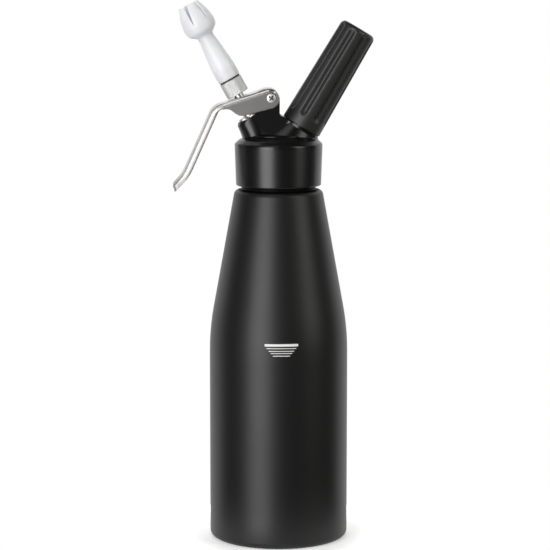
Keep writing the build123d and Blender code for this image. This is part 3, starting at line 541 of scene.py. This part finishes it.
finishes = {
    "bottlePaint": bottlePaint(),
    "castBlack": castBlack(),
    "nozzleWhite": nozzleWhite(),
    "polished": leverSteel(),
    "screwSteel": screwSteel(),
}
for name in ("holderBlack", "knurledSteel", "springSteel", "sealBlack", "sealPale"):
    finishes[name] = skinNodes(name, **skins[name])[0]
for name, spec in turnedMetals.items():
    finishes[name] = turnedMetal(name, **spec)

nodesIn = {
    "bottlePaint": ["bottle"],
    "castBlack": ["head_body"],
    "holderBlack": ["charger_holder"],
    "nozzleWhite": ["tulip_nozzle"],
    "polished": ["lever"],
    "screwSteel": ["pivot_screw", "pivot_barrel"],
    "springSteel": ["valve_spring", "stem_clip"],
    "spigotShadeGrey": ["charger_spigot"],
    "chargerSteel": ["gas_charger", "piercing_pin"],
    "pinBrass": ["pin_nut"],
    "valveSteel": ["valve_stem", "guide_bush", "knurled_nut", "spring_seat", "thrust_washer", "plug_nut",
                   "nozzle_adapter"],
    "sealPale": ["head_gasket", "valve_seat", "pivot_washers"],
    "sealBlack": ["stem_o_ring", "bush_gasket", "stem_plug", "nozzle_ring", "charger_seal", "check_valve"],
}
for finish, names in nodesIn.items():
    for name in names:
        nodes[name].data.materials.clear()
        nodes[name].data.materials.append(finishes[finish])
print("materials ready")


# valve spring
spring = {"foot": 5.7, "top": 10.25, "footRadius": 5.9, "topRadius": 4.9, "wire": 0.9, "turns": 2.5,
          "flatEnds": 0.35, "endTaper": 60, "keep": 0.568}


# A conical coil: the radius shrinks evenly, radius = foot + (top - foot) * share, and the height climbs a
# little slower near both ends, as a ground spring does. A circle of wire follows this line, and narrows to
# a point at both ends.
def makeSpring():
    share = np.linspace(0, 1, 220)
    angle = fullTurn * spring["turns"] * share
    climb = smoothStep(0.0, 1.0, share) * spring["flatEnds"] + share * (1 - spring["flatEnds"])
    radius = spring["footRadius"] + (spring["topRadius"] - spring["footRadius"]) * share
    centre = aroundAxis(radius, angle, spring["foot"] + (spring["top"] - spring["foot"]) * climb)
    ahead = unit(np.gradient(centre, axis=0))
    outward = aroundAxis(1, angle, 0)
    outward = unit(outward - (outward * ahead).sum(1, keepdims=True) * ahead)
    upward = np.cross(ahead, outward)
    about = turnSteps(12)[:, None]
    circle = np.cos(about) * outward[:, None] + np.sin(about) * upward[:, None]
    thick = spring["wire"] / 2 * np.minimum(1, np.sin(np.pi * share) * spring["endTaper"] + 0.001)
    points = centre[:, None] + thick[:, None, None] * circle
    mesh = gridMesh("valveSpring", onPort(points, valvePort))
    springPiece = addPiece(closeUp(mesh), "springSteel")
    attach(springPiece, "head")
    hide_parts("valve_spring")
    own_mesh(springPiece)


makeSpring()
print("spring ready")


# nozzle adapter
adapter = {
    "foot": 17.4, "top": 28.5, "radius": 7.9, "chamfer": 0.35, "edge": 0.3, "bore": 3.55, "boreTop": 25.4,
    "passage": 3.0, "spigotRadius": 5.1, "spigotTop": 37.1,
    "teeth": 48, "toothDepth": 0.16, "footFade": 0.5, "topFade": 0.4, "knurlFrom": 7,
    "threadStart": 30.4, "threadTurns": 4.0, "threadPitch": 1.5, "threadDepth": 0.6, "threadFrom": 4.5,
    "threadTo": 6, "ridge": 1.9, "fall": 5.2,
}


# Knurl: straight teeth, a cosine of the angle that fades towards both edges of the band. Thread: a
# flat-topped ridge that climbs one pitch in each turn of the spigot, clip(ridge - fall * turns away, 0, 1).
def adapterRelief(angle, radius, height):
    a = adapter
    low, high = a["foot"] + a["chamfer"], a["top"] - a["edge"]
    onBand = smoothStep(low, low + a["footFade"], height)
    onBand = onBand * (1 - smoothStep(high - a["topFade"], high, height)) * (radius > a["knurlFrom"])
    teeth = a["toothDepth"] * (0.5 - 0.5 * np.cos(a["teeth"] * angle)) * onBand
    turn = (height - a["threadStart"]) / a["threadPitch"] - angle / fullTurn
    ridge = np.clip(a["ridge"] - a["fall"] * np.abs(turn - np.round(turn)), 0, 1)
    last = a["threadTurns"] - 1
    fade = smoothStep(-0.5, 0.1, turn) * (1 - smoothStep(last, last + 0.4, turn))
    onSpigot = (radius > a["threadFrom"]) & (radius < a["threadTo"]) & (height > a["top"] + 0.3)
    return a["threadDepth"] * ridge * fade * onSpigot - teeth


# A turned band with a spigot on top. The profile runs down its bore, up the band and the spigot, and down the
# passage to where it began.
def makeAdapter():
    a = adapter
    profile = roundedPath([
        (a["bore"], a["boreTop"], 0), (a["bore"], a["foot"], 0.15),
        (a["radius"] - a["chamfer"], a["foot"], 0.2), (a["radius"], a["foot"] + a["chamfer"], 0.2),
        (a["radius"], a["top"], a["edge"]), (a["spigotRadius"], a["top"], 0.2),
        (a["spigotRadius"], a["spigotTop"], 0.4), (a["passage"], a["spigotTop"], 0.2),
        (a["passage"], a["boreTop"], 0), (a["bore"], a["boreTop"], 0)], arcSteps=3)
    mesh = lathe("nozzleAdapter", divided(profile, 0.3), 384, valvePort, adapterRelief)
    piece = addPiece(mesh, "knurledSteel")
    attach(piece, "valve")
    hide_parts("nozzle_adapter")


makeAdapter()
print("adapter ready")


# charger holder
holder = {
    "foot": 30.5, "length": 78.0, "baseRadius": 14.3, "topRadius": 12.9, "edgeRound": 3.5, "footRound": 0.8,
    "threadBore": 11.8, "threadTop": 44.5, "bore": 9.2, "boreTop": 101.2, "boreRound": 5,
    "grooves": 8, "grooveWidth": 6.0, "grooveDepth": 1.35, "grooveFoot": 7.4, "grooveHead": 1.8,
    "firstGroove": 18.5, "grooveLip": 1.15,
}


# Grooves: each is a capsule on the wall. The depth falls off from its middle line to its edge as a
# cosine dish with a soft lip.
def holderRelief(angle, radius, height):
    h = holder
    step = fullTurn / h["grooves"]
    turn = (angle - np.radians(-90 - h["firstGroove"])) / step
    sideways = (turn - np.round(turn)) * step * radius
    half = h["grooveWidth"] / 2
    low, high = h["foot"] + h["grooveFoot"] + half, h["foot"] + h["length"] - h["grooveHead"] - half
    beyond = np.maximum(0, np.maximum(low - height, height - high))
    away = np.sqrt(sideways ** 2 + beyond ** 2) / half
    dish = 0.5 + 0.5 * np.cos(np.pi * np.clip(away / h["grooveLip"], 0, 1))
    return -h["grooveDepth"] * dish * (radius > h["threadBore"] + 0.5)


# A turned sleeve closed at its top. The profile runs down the bore and the thread's bore, and up the wall.
def makeHolder():
    h = holder
    top = h["foot"] + h["length"]
    profile = roundedPath([
        (0, h["boreTop"], 0), (h["bore"], h["boreTop"], h["boreRound"]), (h["bore"], h["threadTop"], 0.5),
        (h["threadBore"], h["threadTop"], 0), (h["threadBore"], h["foot"], 0.4),
        (h["baseRadius"], h["foot"], h["footRound"]), (h["topRadius"], top, h["edgeRound"]), (0, top, 0)])
    mesh = lathe("chargerHolder", divided(profile, 0.7), 288, chargerPort, holderRelief)
    piece = addPiece(mesh, "holderBlack")
    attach(piece, "holder")
    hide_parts("charger_holder")


makeHolder()
print("holder ready")


# cap edge
capEdge = {"radius": 20.4, "rise": 5.8, "bead": 0.45}      # rise is counted from the collar's top


# The crisp edge of the cap's dome: a thin round bead half sunk in the surface.
def makeCapEdge():
    turn = turnSteps(12)
    radius = capEdge["radius"] + capEdge["bead"] * np.cos(turn)
    height = collarTop + capEdge["rise"] + capEdge["bead"] * np.sin(turn)
    profile = np.stack([radius, height], axis=-1)
    profile = np.vstack([profile, profile[:1]])
    piece = addPiece(lathe("capEdge", profile, 192, bottleAxis), "castBlack")
    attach(piece, "head")


makeCapEdge()
print("cap edge ready")


# pivot screw

# A turned profile round the pivot's axis. Its domed face sinks where a turned cross lies: near is the
# smaller and far the larger distance from the cross's two middle lines.
def makeScrew():
    s = screw
    face = s["headFoot"] + s["domeFrom"] * s["headHeight"]
    profile = divided(roundedPath([
        (0, s["shankEnd"], 0), (s["shankRadius"], s["shankEnd"], 0.2), (s["shankRadius"], s["headFoot"], 0),
        (s["headRadius"], s["headFoot"], 0.2), (s["headRadius"], face, 0.5),
        (0, s["headFoot"] + s["headHeight"], 0)], 6), 0.1)
    angle = turnSteps(96)
    radius, height = profile[:, :1], profile[:, 1:]
    turned = angle + radians(s["crossTurn"])
    first, second = np.abs(radius * np.cos(turned)), np.abs(radius * np.sin(turned))
    near, far = np.minimum(first, second), np.maximum(first, second)
    inWidth = 1 - smoothStep(s["cross"] - s["crossSoft"], s["cross"] + s["crossSoft"], near)
    inReach = 1 - smoothStep(s["crossReach"] - s["crossEnd"], s["crossReach"], far)
    side = height - s["crossDepth"] * (inWidth * inReach) * (height > face)
    mesh = gridMesh("pivotScrew", aroundPivot(radius, angle, -side))
    piece = addPiece(closeUp(mesh), "screwSteel")
    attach(piece, "head")
    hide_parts("pivot_screw")


makeScrew()
print("screw ready")


# casting blends
castingBlends = {
    # top and foot lie along the port's axis, radius is the skirt's at its top, sink is how deep its inner
    # wall lies; the shoulder stands out on the left, and a skirt that keepsIn doesn't flare on the right
    "portBlend": {"port": valvePort, "top": -0.5, "foot": -24.0, "radius": 10.1, "spread": 5.2,
                  "power": 1.7, "sink": 1.6, "shoulder": 1.0, "keepsIn": True},
    "bossBlend": {"port": chargerPort, "top": 28.6, "foot": 12.5, "radius": 13.8, "spread": 8.5,
                  "power": 1.0, "sink": 1.6, "shoulder": 0.0, "keepsIn": False},
}


# A skirt round a port where the casting flares into its cap: radius = port + spread * depth share ^ power,
# closed by an inner wall that lies inside the casting.
def makeBlend(name, spec):
    share = np.linspace(0, 1, 40)[:, None]
    height = spec["top"] + (spec["foot"] - spec["top"]) * share
    radius = spec["radius"] + spec["spread"] * share ** spec["power"]
    outer = np.hstack([radius, height])
    within = spec["radius"] - spec["sink"]
    profile = np.vstack([outer, [[within, spec["foot"]], [within, spec["top"]]], outer[:1]])

    # the shoulder grows over 1.2 mm from the top, and both changes follow the cosine of the angle
    def relief(angle, radius, height):
        across = np.cos(angle)
        grown = smoothStep(spec["top"], spec["top"] - 1.2, height)
        shoulder = spec["shoulder"] * smoothStep(0.1, 0.95, -across) * grown
        kept = 1 - smoothStep(0.5, -0.6, across) if spec["keepsIn"] else 0
        return (radius >= spec["radius"]) * (shoulder - (radius - spec["radius"]) * kept)

    piece = addPiece(lathe(name, profile, 144, spec["port"], relief), "castBlack")
    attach(piece, "head")


for name, spec in castingBlends.items():
    makeBlend(name, spec)
print("casting blends ready")


# nozzle
nozzle = {
    "foot": 29.6, "length": 58.0, "wall": 1.5, "petals": 6, "firstSlot": 18.0, "slotLength": 13.8,
    "slotTip": 2.6, "slotFoot": 0.3, "edgeRound": 0.5, "tipCorner": 0.9, "socket": 6.0, "socketTop": 37.15,
    "bore": 4.1, "neck": 31.5,
    # outside radius, height above the foot, round
    "outline": [(7.9, 0, 0), (8.2, 7, 25), (7.95, 11, 20), (5.6, 32.2, 4), (5.9, 33.9, 0.8),
                (10.75, 37.7, 4.2), (11.45, 42.8, 9), (10.05, 50.3, 12), (7.3, 58.0, 0)],
    "petalRows": 36, "wallRows": 90, "bulbRows": 24, "columns": 21,
}


# A tulip. Rows run from the tips down the outside, under the foot and up the inside to the tips. Each
# petal has the sixth part of the turn less its slots, whose width grows from nothing at their foot to the
# tip: angle = middle + across * (sixth / 2 - half slot / radius). In the petals both skins lie half a wall
# from the middle skin, times the roundness at the petal's sides and tip, so they meet in a round edge.
def makeNozzle():
    n = nozzle
    outline = divided(roundedPath([(r, n["foot"] + z, size) for r, z, size in n["outline"]], 10), 0.3)
    lengths = pathLengths(outline)
    slotPlace = np.interp(n["foot"] + n["length"] - n["slotLength"], outline[:, 1], lengths)
    neckPlace = np.interp(n["foot"] + n["neck"], outline[:, 1], lengths)
    ease = (1 - np.cos(np.linspace(0, np.pi, n["petalRows"]))) / 2
    petalRows = slotPlace + (lengths[-1] - slotPlace) * ease
    wallRows = np.linspace(0, slotPlace - 0.2, n["wallRows"])
    bulbRows = np.linspace(neckPlace, slotPlace - 0.2, n["bulbRows"])
    across = np.sin(np.linspace(-np.pi / 2, np.pi / 2, n["columns"]))
    sixth = fullTurn / n["petals"]

    # the petals
    spot, outward = besidePath(outline, petalRows, 0.1)
    middle = spot - outward * n["wall"] / 2
    toTip = (lengths[-1] - petalRows)[:, None]
    share = ((petalRows - slotPlace) / (lengths[-1] - slotPlace))[:, None]
    halfSlot = (n["slotFoot"] * roundness(share, 0.05) + (n["slotTip"] - n["slotFoot"]) * share) / 2
    halfSlot = halfSlot + n["tipCorner"] * (1 - roundness(toTip, n["tipCorner"]))
    halfPetal = middle[:, :1] * sixth / 2 - halfSlot
    full = roundness((1 - np.abs(across)) * halfPetal, n["edgeRound"]) * roundness(toTip, n["edgeRound"])
    toSkin = outward[:, None] * full[..., None] * n["wall"] / 2
    petalTurn = across * halfPetal / middle[:, :1]

    # the whole wall below them: outside, socket and the inside of the bulb
    outerWall = besidePath(outline, wallRows, 0.1)[0]
    bulbSpot, bulbOut = besidePath(outline, bulbRows, 0.1)
    socket = divided(roundedPath([
        (n["socket"], n["foot"], 0), (n["socket"], n["socketTop"], 0.3), (n["bore"], n["socketTop"], 0.3),
        (n["bore"], n["foot"] + n["neck"] - 1, 0)], 4), 2.0)
    innerWall = np.vstack([socket, bulbSpot - bulbOut * n["wall"]])
    plain = np.vstack([outerWall[::-1], innerWall])[:, None] + 0 * toSkin[:1]
    plainTurn = across * sixth / 2 + 0 * plain[..., 0]

    # one petal's rows, repeated round the axis
    rows = np.concatenate([(middle[:, None] + toSkin)[::-1], plain, middle[:, None] - toSkin])
    turn = np.concatenate([petalTurn[::-1], plainTurn, petalTurn])
    first = np.radians(-90 - n["firstSlot"]) + sixth * (np.arange(n["petals"]) + 0.5)
    points = aroundAxis(rows[:, None, :, 0], turn[:, None] + first[:, None], rows[:, None, :, 1])
    points = points.reshape(len(rows), -1, 3)
    keep = np.ones((len(rows) - 1, points.shape[1]), bool)
    keep[:, len(across) - 1::len(across)] = False       # nothing between two petals
    mesh = gridMesh("tulipNozzle", onPort(points, valvePort), keep=keep)
    piece = addPiece(closeUp(mesh, distance=0.01), "nozzleWhite")
    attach(piece, "nozzle")
    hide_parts("tulip_nozzle")


makeNozzle()
print("nozzle ready")


# lever
lever = {
    # sheet, its rounded edges, and how soft the lower rim of the flanges is
    "sheet": 1.5, "halfWidth": 12.0, "edgeRound": 3.2, "tipEdge": 2.2, "softEdge": 0.22,
    # wrap round the pivot
    "wrapRadius": 6.9, "wrapRound": 6.8, "heelReach": 5.8, "wrapEnd": 0.3, "pivotRadius": 2.58,
    # plate over the valve, arm and tip
    "plateAngle": 18.0, "plateLength": 39.9, "bendRound": 12.0, "armAngle": 24.2, "armLength": 52.3,
    "armDepth": 5.1, "tipAngle": 44.0, "tipLength": 9.9, "tipRound": 35.0, "tipDepth": 4.2, "tipLean": 1.4,
    "tipCorner": 3.4,
    # cheeks, and the throat where they run out into the arm
    "cheekAngle": 15.0, "cheekLowAlong": 24.6, "cheekLowRound": 9.0, "throatAlong": 29.6, "throatDepth": 5.0,
    "throatRound": 6.0, "armThroatRound": 3.5,
    # slot for the stem; curl of the arm's flanges; crown of the plate
    "slotAlong": 19.43, "slotHalf": 0.82, "slotRadius": 3.95, "curl": 0.7, "curlFrom": 0.4,
    "crown": 0.7, "crownFrom": -3.0, "crownTo": 11.0,
    # how far from the wrap's end, the bend or the tip's end a change of section runs
    "edgeGrows": 6, "curlBegins": (4, 8), "curlEnds": (14, 6), "tipBegins": (16, 4), "spineEnd": 3,
}


# Point where two lines meet, each square to its normal and at a reach from the same centre.
def meeting(centre, normalA, reachA, normalB, reachB):
    return centre + np.linalg.solve(np.array([normalA, normalB]), np.array([reachA, reachB]))


# The lever's outside and its lower edge, seen from the side: both start at the wrap's end behind the pivot.
# Stops pair the lengths on both that belong to the same section.
def leverPaths():
    v = lever
    lean = np.radians([90 - v["plateAngle"], v["armAngle"], v["tipAngle"]])
    along = np.stack([-np.sin(lean), -np.cos(lean)], axis=-1)
    outside = np.stack([-np.cos(lean), np.sin(lean)], axis=-1)
    centre = np.array(pivotSpot)
    start = centre + (v["heelReach"], -v["wrapEnd"])
    wrap = meeting(centre, (1, 0), v["heelReach"], outside[0], v["wrapRadius"])
    bend = centre + outside[0] * v["wrapRadius"] + along[0] * v["plateLength"]
    tipBend = bend + along[1] * v["armLength"]
    end = tipBend + along[2] * v["tipLength"]
    top = roundedPath([(*start, 0), (*wrap, v["wrapRound"]), (*bend, v["bendRound"]),
                       (*tipBend, v["tipRound"]), (*end, 0)], arcSteps=24)
    edge = radians(v["cheekAngle"])
    edgeOut = (np.sin(edge), -np.cos(edge))
    heel = meeting(centre, (1, 0), v["heelReach"], edgeOut, v["wrapRadius"])
    low = meeting(centre, edgeOut, v["wrapRadius"], along[0], v["cheekLowAlong"])
    throat = centre + along[0] * v["throatAlong"] + outside[0] * (v["wrapRadius"] - v["throatDepth"])
    armUnder = bend - outside[1] * v["armDepth"]
    tipUnder = meeting(tipBend, outside[1], -v["armDepth"], outside[2], -v["tipDepth"])
    endUnder = end + along[2] * v["tipLean"] - outside[2] * v["tipDepth"]
    under = roundedPath([(*start, 0), (*heel, v["wrapRound"]), (*low, v["cheekLowRound"]),
                         (*throat, v["throatRound"]), (*armUnder, v["armThroatRound"]),
                         (*tipUnder, v["tipRound"]), (*endUnder, 0)], arcSteps=24)
    top, under = divided(top, 0.4), divided(under, 0.4)
    onPlate = centre + outside[0] * v["wrapRadius"]
    pairs = [(onPlate, centre - outside[0] * v["wrapRadius"]),
             (onPlate + along[0] * v["cheekLowAlong"], low),
             (onPlate + along[0] * (v["throatAlong"] + 1), throat), (bend, armUnder), (tipBend, tipUnder)]
    stops = [[0, 0]] + [[nearest(top, above), nearest(under, below)] for above, below in pairs]
    stops += [[pathLengths(top)[-1], pathLengths(under)[-1]]]
    slotPlace = nearest(top, onPlate + along[0] * v["slotAlong"])
    return top, under, np.array(stops), slotPlace, nearest(top, onPlate), nearest(top, bend)


# Stations along the rim, down one side, round the tip's corner and to its middle: place along the lever,
# sideways, and the direction out of the rim (along, sideways). The other side mirrors them.
def leverStations(length, slotPlace):
    half, corner = lever["halfWidth"], lever["tipCorner"]
    slotReach = lever["slotHalf"] + lever["slotRadius"]
    inSlot = slotPlace + slotReach * np.cos(np.linspace(np.pi, 0, 41))
    before, after = np.linspace(0, inSlot[0], 60), np.linspace(inSlot[-1], length - corner, 130)
    rail = np.concatenate([before[:-1], inSlot, after[1:]])
    turn = np.linspace(0, np.pi / 2, 12)[1:]
    end = np.linspace(half - corner, 0, 9)[1:]
    place = np.concatenate([rail, length - corner + corner * np.sin(turn), 0 * end + length])
    side = np.concatenate([0 * rail + half, half - corner + corner * np.cos(turn), end])
    outS = np.concatenate([0 * rail, np.sin(turn), 0 * end + 1])
    outY = np.concatenate([0 * rail + 1, np.cos(turn), 0 * end])
    return [np.concatenate([part, sign * part[-2::-1]])[:, None]
            for part, sign in ((place, 1), (side, -1), (outS, 1), (outY, -1))]


# Spot on the lever's outside and the direction into the sheet there.
def onTop(top, lengths):
    spot, right = besidePath(top, lengths, 0.05)
    return spot, -right


# A plain round bar through both cheeks.
def boreCutter():
    reach = np.array([0.0, 1, 1, 0.0])[:, None] * lever["pivotRadius"]
    side = np.array([-20.0, -20, 20, 20])[:, None]
    mesh = gridMesh("boreCutter", aroundPivot(reach, turnSteps(48)[None], side))
    return addPiece(closeUp(mesh))


# Makes what a piece's modifiers show its own mesh, smooth up to a crease of 40 degrees.
def applyAll(piece):
    ready = piece.evaluated_get(bpy.context.evaluated_depsgraph_get())
    mesh = bpy.data.meshes.new_from_object(ready)
    piece.modifiers.clear()
    piece.data = mesh
    mesh.polygons.foreach_set("use_smooth", np.ones(len(mesh.polygons), bool))
    mesh.set_sharp_from_angle(angle=radians(40))


# A pressed channel as one closed skin. Each line runs from the middle line, or from the stem's slot, out to
# the rim, over its round edge, down the flange, round its lower edge and back the same way inside the
# sheet: spot = top(s) + inward(s) * depth. Outer and inner skin share the formula: the inner one has its
# rim and depth moved in by the sheet's thickness. Names end in S along the lever and in Y sideways.
def makeLever():
    v = lever
    top, under, stops, slotPlace, pivotPlace, bendPlace = leverPaths()
    length = pathLengths(top)[-1]
    place, side, outS, outY = leverStations(length, slotPlace)
    spine = np.minimum(place, length - v["tipCorner"] - v["spineEnd"])
    past = np.maximum(0, np.abs(place - slotPlace) - v["slotHalf"])
    onRail = np.abs(side) >= v["halfWidth"]
    slot = np.where(onRail, np.sqrt(np.maximum(0, v["slotRadius"] ** 2 - past ** 2)), 0) * np.sign(side)
    tipFrom, tipTo = v["tipBegins"]
    atTip = smoothStep(length - tipFrom, length - tipTo, place)
    edge = v["edgeRound"] + (v["tipEdge"] - v["edgeRound"]) * atTip
    grown = smoothStep(0, v["edgeGrows"], place)
    edgeWide = v["sheet"] + (edge - v["sheet"]) * grown
    edgeDeep = edge * grown
    share = np.linspace(0, 1, 12)[None]
    arc = np.linspace(0, np.pi / 2, 13)[None, 1:]
    down = np.linspace(0, 1, 10)[None, 1:]
    lower = alongPath(under, np.interp(place, stops[:, 0], stops[:, 1]))
    before, behind = v["curlBegins"]
    endFrom, endTo = v["curlEnds"]
    curl = v["curl"] * smoothStep(bendPlace - before, bendPlace + behind, place)
    curl = curl * (1 - smoothStep(length - endFrom, length - endTo, place))
    ahead = onTop(top, place)[1][..., ::-1] * (1, -1)

    # one skin, moved in by inset; gives its spots, how far sideways they lie, its lower rim, and how far the
    # last row stays back from that rim
    def skin(inset):
        rimS, rimY = place - outS * inset, side - outY * inset
        wide, deep = np.maximum(edgeWide - inset, 0), np.maximum(edgeDeep - inset, 0)
        webS = spine + (rimS - outS * wide - spine) * share
        webY = slot + (rimY - outY * wide - slot) * share
        crownPlace = (webS - pivotPlace - v["crownFrom"]) / (v["crownTo"] - v["crownFrom"])
        crown = v["crown"] * np.sin(np.pi * np.clip(crownPlace, 0, 1)) ** 2
        crown = crown * (1 - (webY / v["halfWidth"]) ** 2)
        arcS, arcY = rimS - outS * wide * (1 - np.sin(arc)), rimY - outY * wide * (1 - np.sin(arc))
        spot, inward = onTop(top, np.hstack([webS, arcS]))
        depth = inset + np.hstack([-crown, deep * (1 - np.cos(arc))])
        web = spot + inward * depth[..., None]
        foot = lower - (outS * inset)[..., None] * ahead
        toRim = web[:, -1:] - foot
        reach = np.linalg.norm(toRim, axis=-1, keepdims=True)
        recess = toRim / np.maximum(reach, 1e-6) * np.minimum(v["softEdge"], 0.3 * reach)
        flange = web[:, -1:] + (foot + recess - web[:, -1:]) * down[..., None]
        flangeY = rimY - outY * curl * (np.clip(down - v["curlFrom"], 0, 1) / (1 - v["curlFrom"])) ** 2
        return np.concatenate([web, flange], axis=1), np.hstack([webY, arcY, flangeY]), foot, recess

    outer, outerSide, outerFoot, outerRecess = skin(0.0)
    inner, innerSide, innerFoot, innerRecess = skin(v["sheet"])
    across = (1 - np.sin(arc))[:, ::-1][:, 1:]
    lift = 1 - roundness(np.minimum(across, 1 - across) * v["sheet"], v["softEdge"])
    strip = outerFoot + (innerFoot - outerFoot) * across[..., None] + outerRecess * lift[..., None]
    stripSide = side - outY * (curl + v["sheet"] * across)
    flat = np.concatenate([outer, strip, inner[:, ::-1]], axis=1)
    sideways = np.hstack([outerSide, stripSide, innerSide[:, ::-1]])
    points = np.stack([flat[..., 0], sideways, flat[..., 1]], axis=-1)
    keep = np.ones((len(points) - 1, points.shape[1]), bool)
    keep[:, -1] = (np.abs(slot[1:, 0]) > 0) | (np.abs(slot[:-1, 0]) > 0)      # a wall only round the slot
    mesh = gridMesh("squeezeLever", points, keep=keep)
    piece = addPiece(closeUp(mesh, distance=0.004))
    bore = boreCutter()
    cut = piece.modifiers.new("pivotBore", "BOOLEAN")
    cut.operation = "DIFFERENCE"
    cut.solver = "EXACT"
    cut.object = bore
    applyAll(piece)
    bpy.data.objects.remove(bore)
    piece.data.materials.append(finishes["polished"])
    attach(piece, "lever_arm")
    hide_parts("lever")


makeLever()
print("lever ready")


# floor, cards and backdrop, in metres
stage = {
    "floorRadius": 0.1, "floorSink": 0.00005, "floorColour": (0.8, 0.8, 0.8), "floorLift": 0.4,
    "fade": (0.054, 0.088), "backLight": 0.25, "cardGlow": 0.056,
    "cardRadius": 2.0, "cardHeight": 2.3, "cardDepth": 2.0, "cardHalfAngle": 112, "lidBack": 2.2,
}


# What a ray that is seen, mirrored or let through adds: 1 for camera, glossy and transmission rays, else 0.
# The second value is 1 for camera rays alone.
def seenRays(tree):
    path = tree.nodes.new("ShaderNodeLightPath").outputs
    seen = mathNode(tree, "ADD", path["Is Camera Ray"], path["Is Glossy Ray"])
    seen = mathNode(tree, "MINIMUM", mathNode(tree, "ADD", seen, path["Is Transmission Ray"]), 1.0)
    return seen, path["Is Camera Ray"]


# A flat disc: rings of points around the origin. Seen rays get floorLift from it, and camera rays get more
# towards its rim, so that the shade under the object ends softly in the white world.
def makeFloor():
    reach = np.array([0.002, 0.3, 0.6, 1])[:, None] * stage["floorRadius"] / mm
    points = aroundAxis(reach, turnSteps(96), -stage["floorSink"] / mm)
    mesh = gridMesh("floor", points, flip=True)
    material, tree, shader, place = startMaterial("floorWhite", stage["floorColour"])
    shader.inputs["Roughness"].default_value = 0.8
    shader.inputs["Specular IOR Level"].default_value = 0.1
    shader.inputs["Emission Color"].default_value = (1, 1, 1, 1)
    away = tree.nodes.new("ShaderNodeVectorMath")
    away.operation = "LENGTH"
    tree.links.new(place, away.inputs[0])
    rise = (0.0, 1 - stage["floorLift"])
    fade = mapRange(tree, away.outputs["Value"], stage["fade"], rise, "SMOOTHSTEP")
    seen, viewed = seenRays(tree)
    lift = mathNode(tree, "MULTIPLY", seen, stage["floorLift"])
    feed(tree, shader.inputs["Emission Strength"], mathNode(tree, "MULTIPLY_ADD", viewed, fade, lift))
    mesh.materials.append(material)
    piece = addPiece(mesh)


# Dark cards round the front and sides and over the top: an upright arc of a cylinder with a flat lid.
# They keep the black paint black, and the camera doesn't see them.
def makeCards():
    radius, height, half = stage["cardRadius"], stage["cardHeight"], stage["cardHalfAngle"]
    turn = np.radians(np.linspace(-half, half, 49))
    reach = np.array([1, 1, 1, 0.5])[:, None] * radius
    level = np.array([-stage["cardDepth"], 0.5, height, height])[:, None]
    wall = np.stack(np.broadcast_arrays(reach * np.sin(turn), -reach * np.cos(turn), level), axis=-1)
    lidEdge = np.stack(np.broadcast_arrays(radius * np.sin(turn), stage["lidBack"], height), axis=-1)
    mesh = gridMesh("cards", np.concatenate([wall, lidEdge[None]]) / mm, closed=False)
    material = bpy.data.materials.new("cardGrey")
    material.use_nodes = True
    tree = material.node_tree
    tree.nodes.remove(tree.nodes["Principled BSDF"])
    glow = tree.nodes.new("ShaderNodeEmission")
    glow.inputs["Strength"].default_value = stage["cardGlow"]
    tree.links.new(glow.outputs[0], tree.nodes["Material Output"].inputs["Surface"])
    mesh.materials.append(material)
    piece = addPiece(mesh)
    piece.visible_camera = False
    piece.visible_diffuse = False
    piece.visible_shadow = False


# White where it is seen, mirrored or let through, and a low plain light for all other rays.
def makeWorld():
    world = bpy.data.worlds.new("studio")
    bpy.context.scene.world = world
    world.use_nodes = True
    tree = world.node_tree
    seen = seenRays(tree)[0]
    strength = mathNode(tree, "MULTIPLY_ADD", seen, 1 - stage["backLight"], stage["backLight"])
    feedAll(tree, tree.nodes["Background"], Color=(1, 1, 1, 1), Strength=strength)


makeFloor()
makeCards()
makeWorld()
print("stage ready")
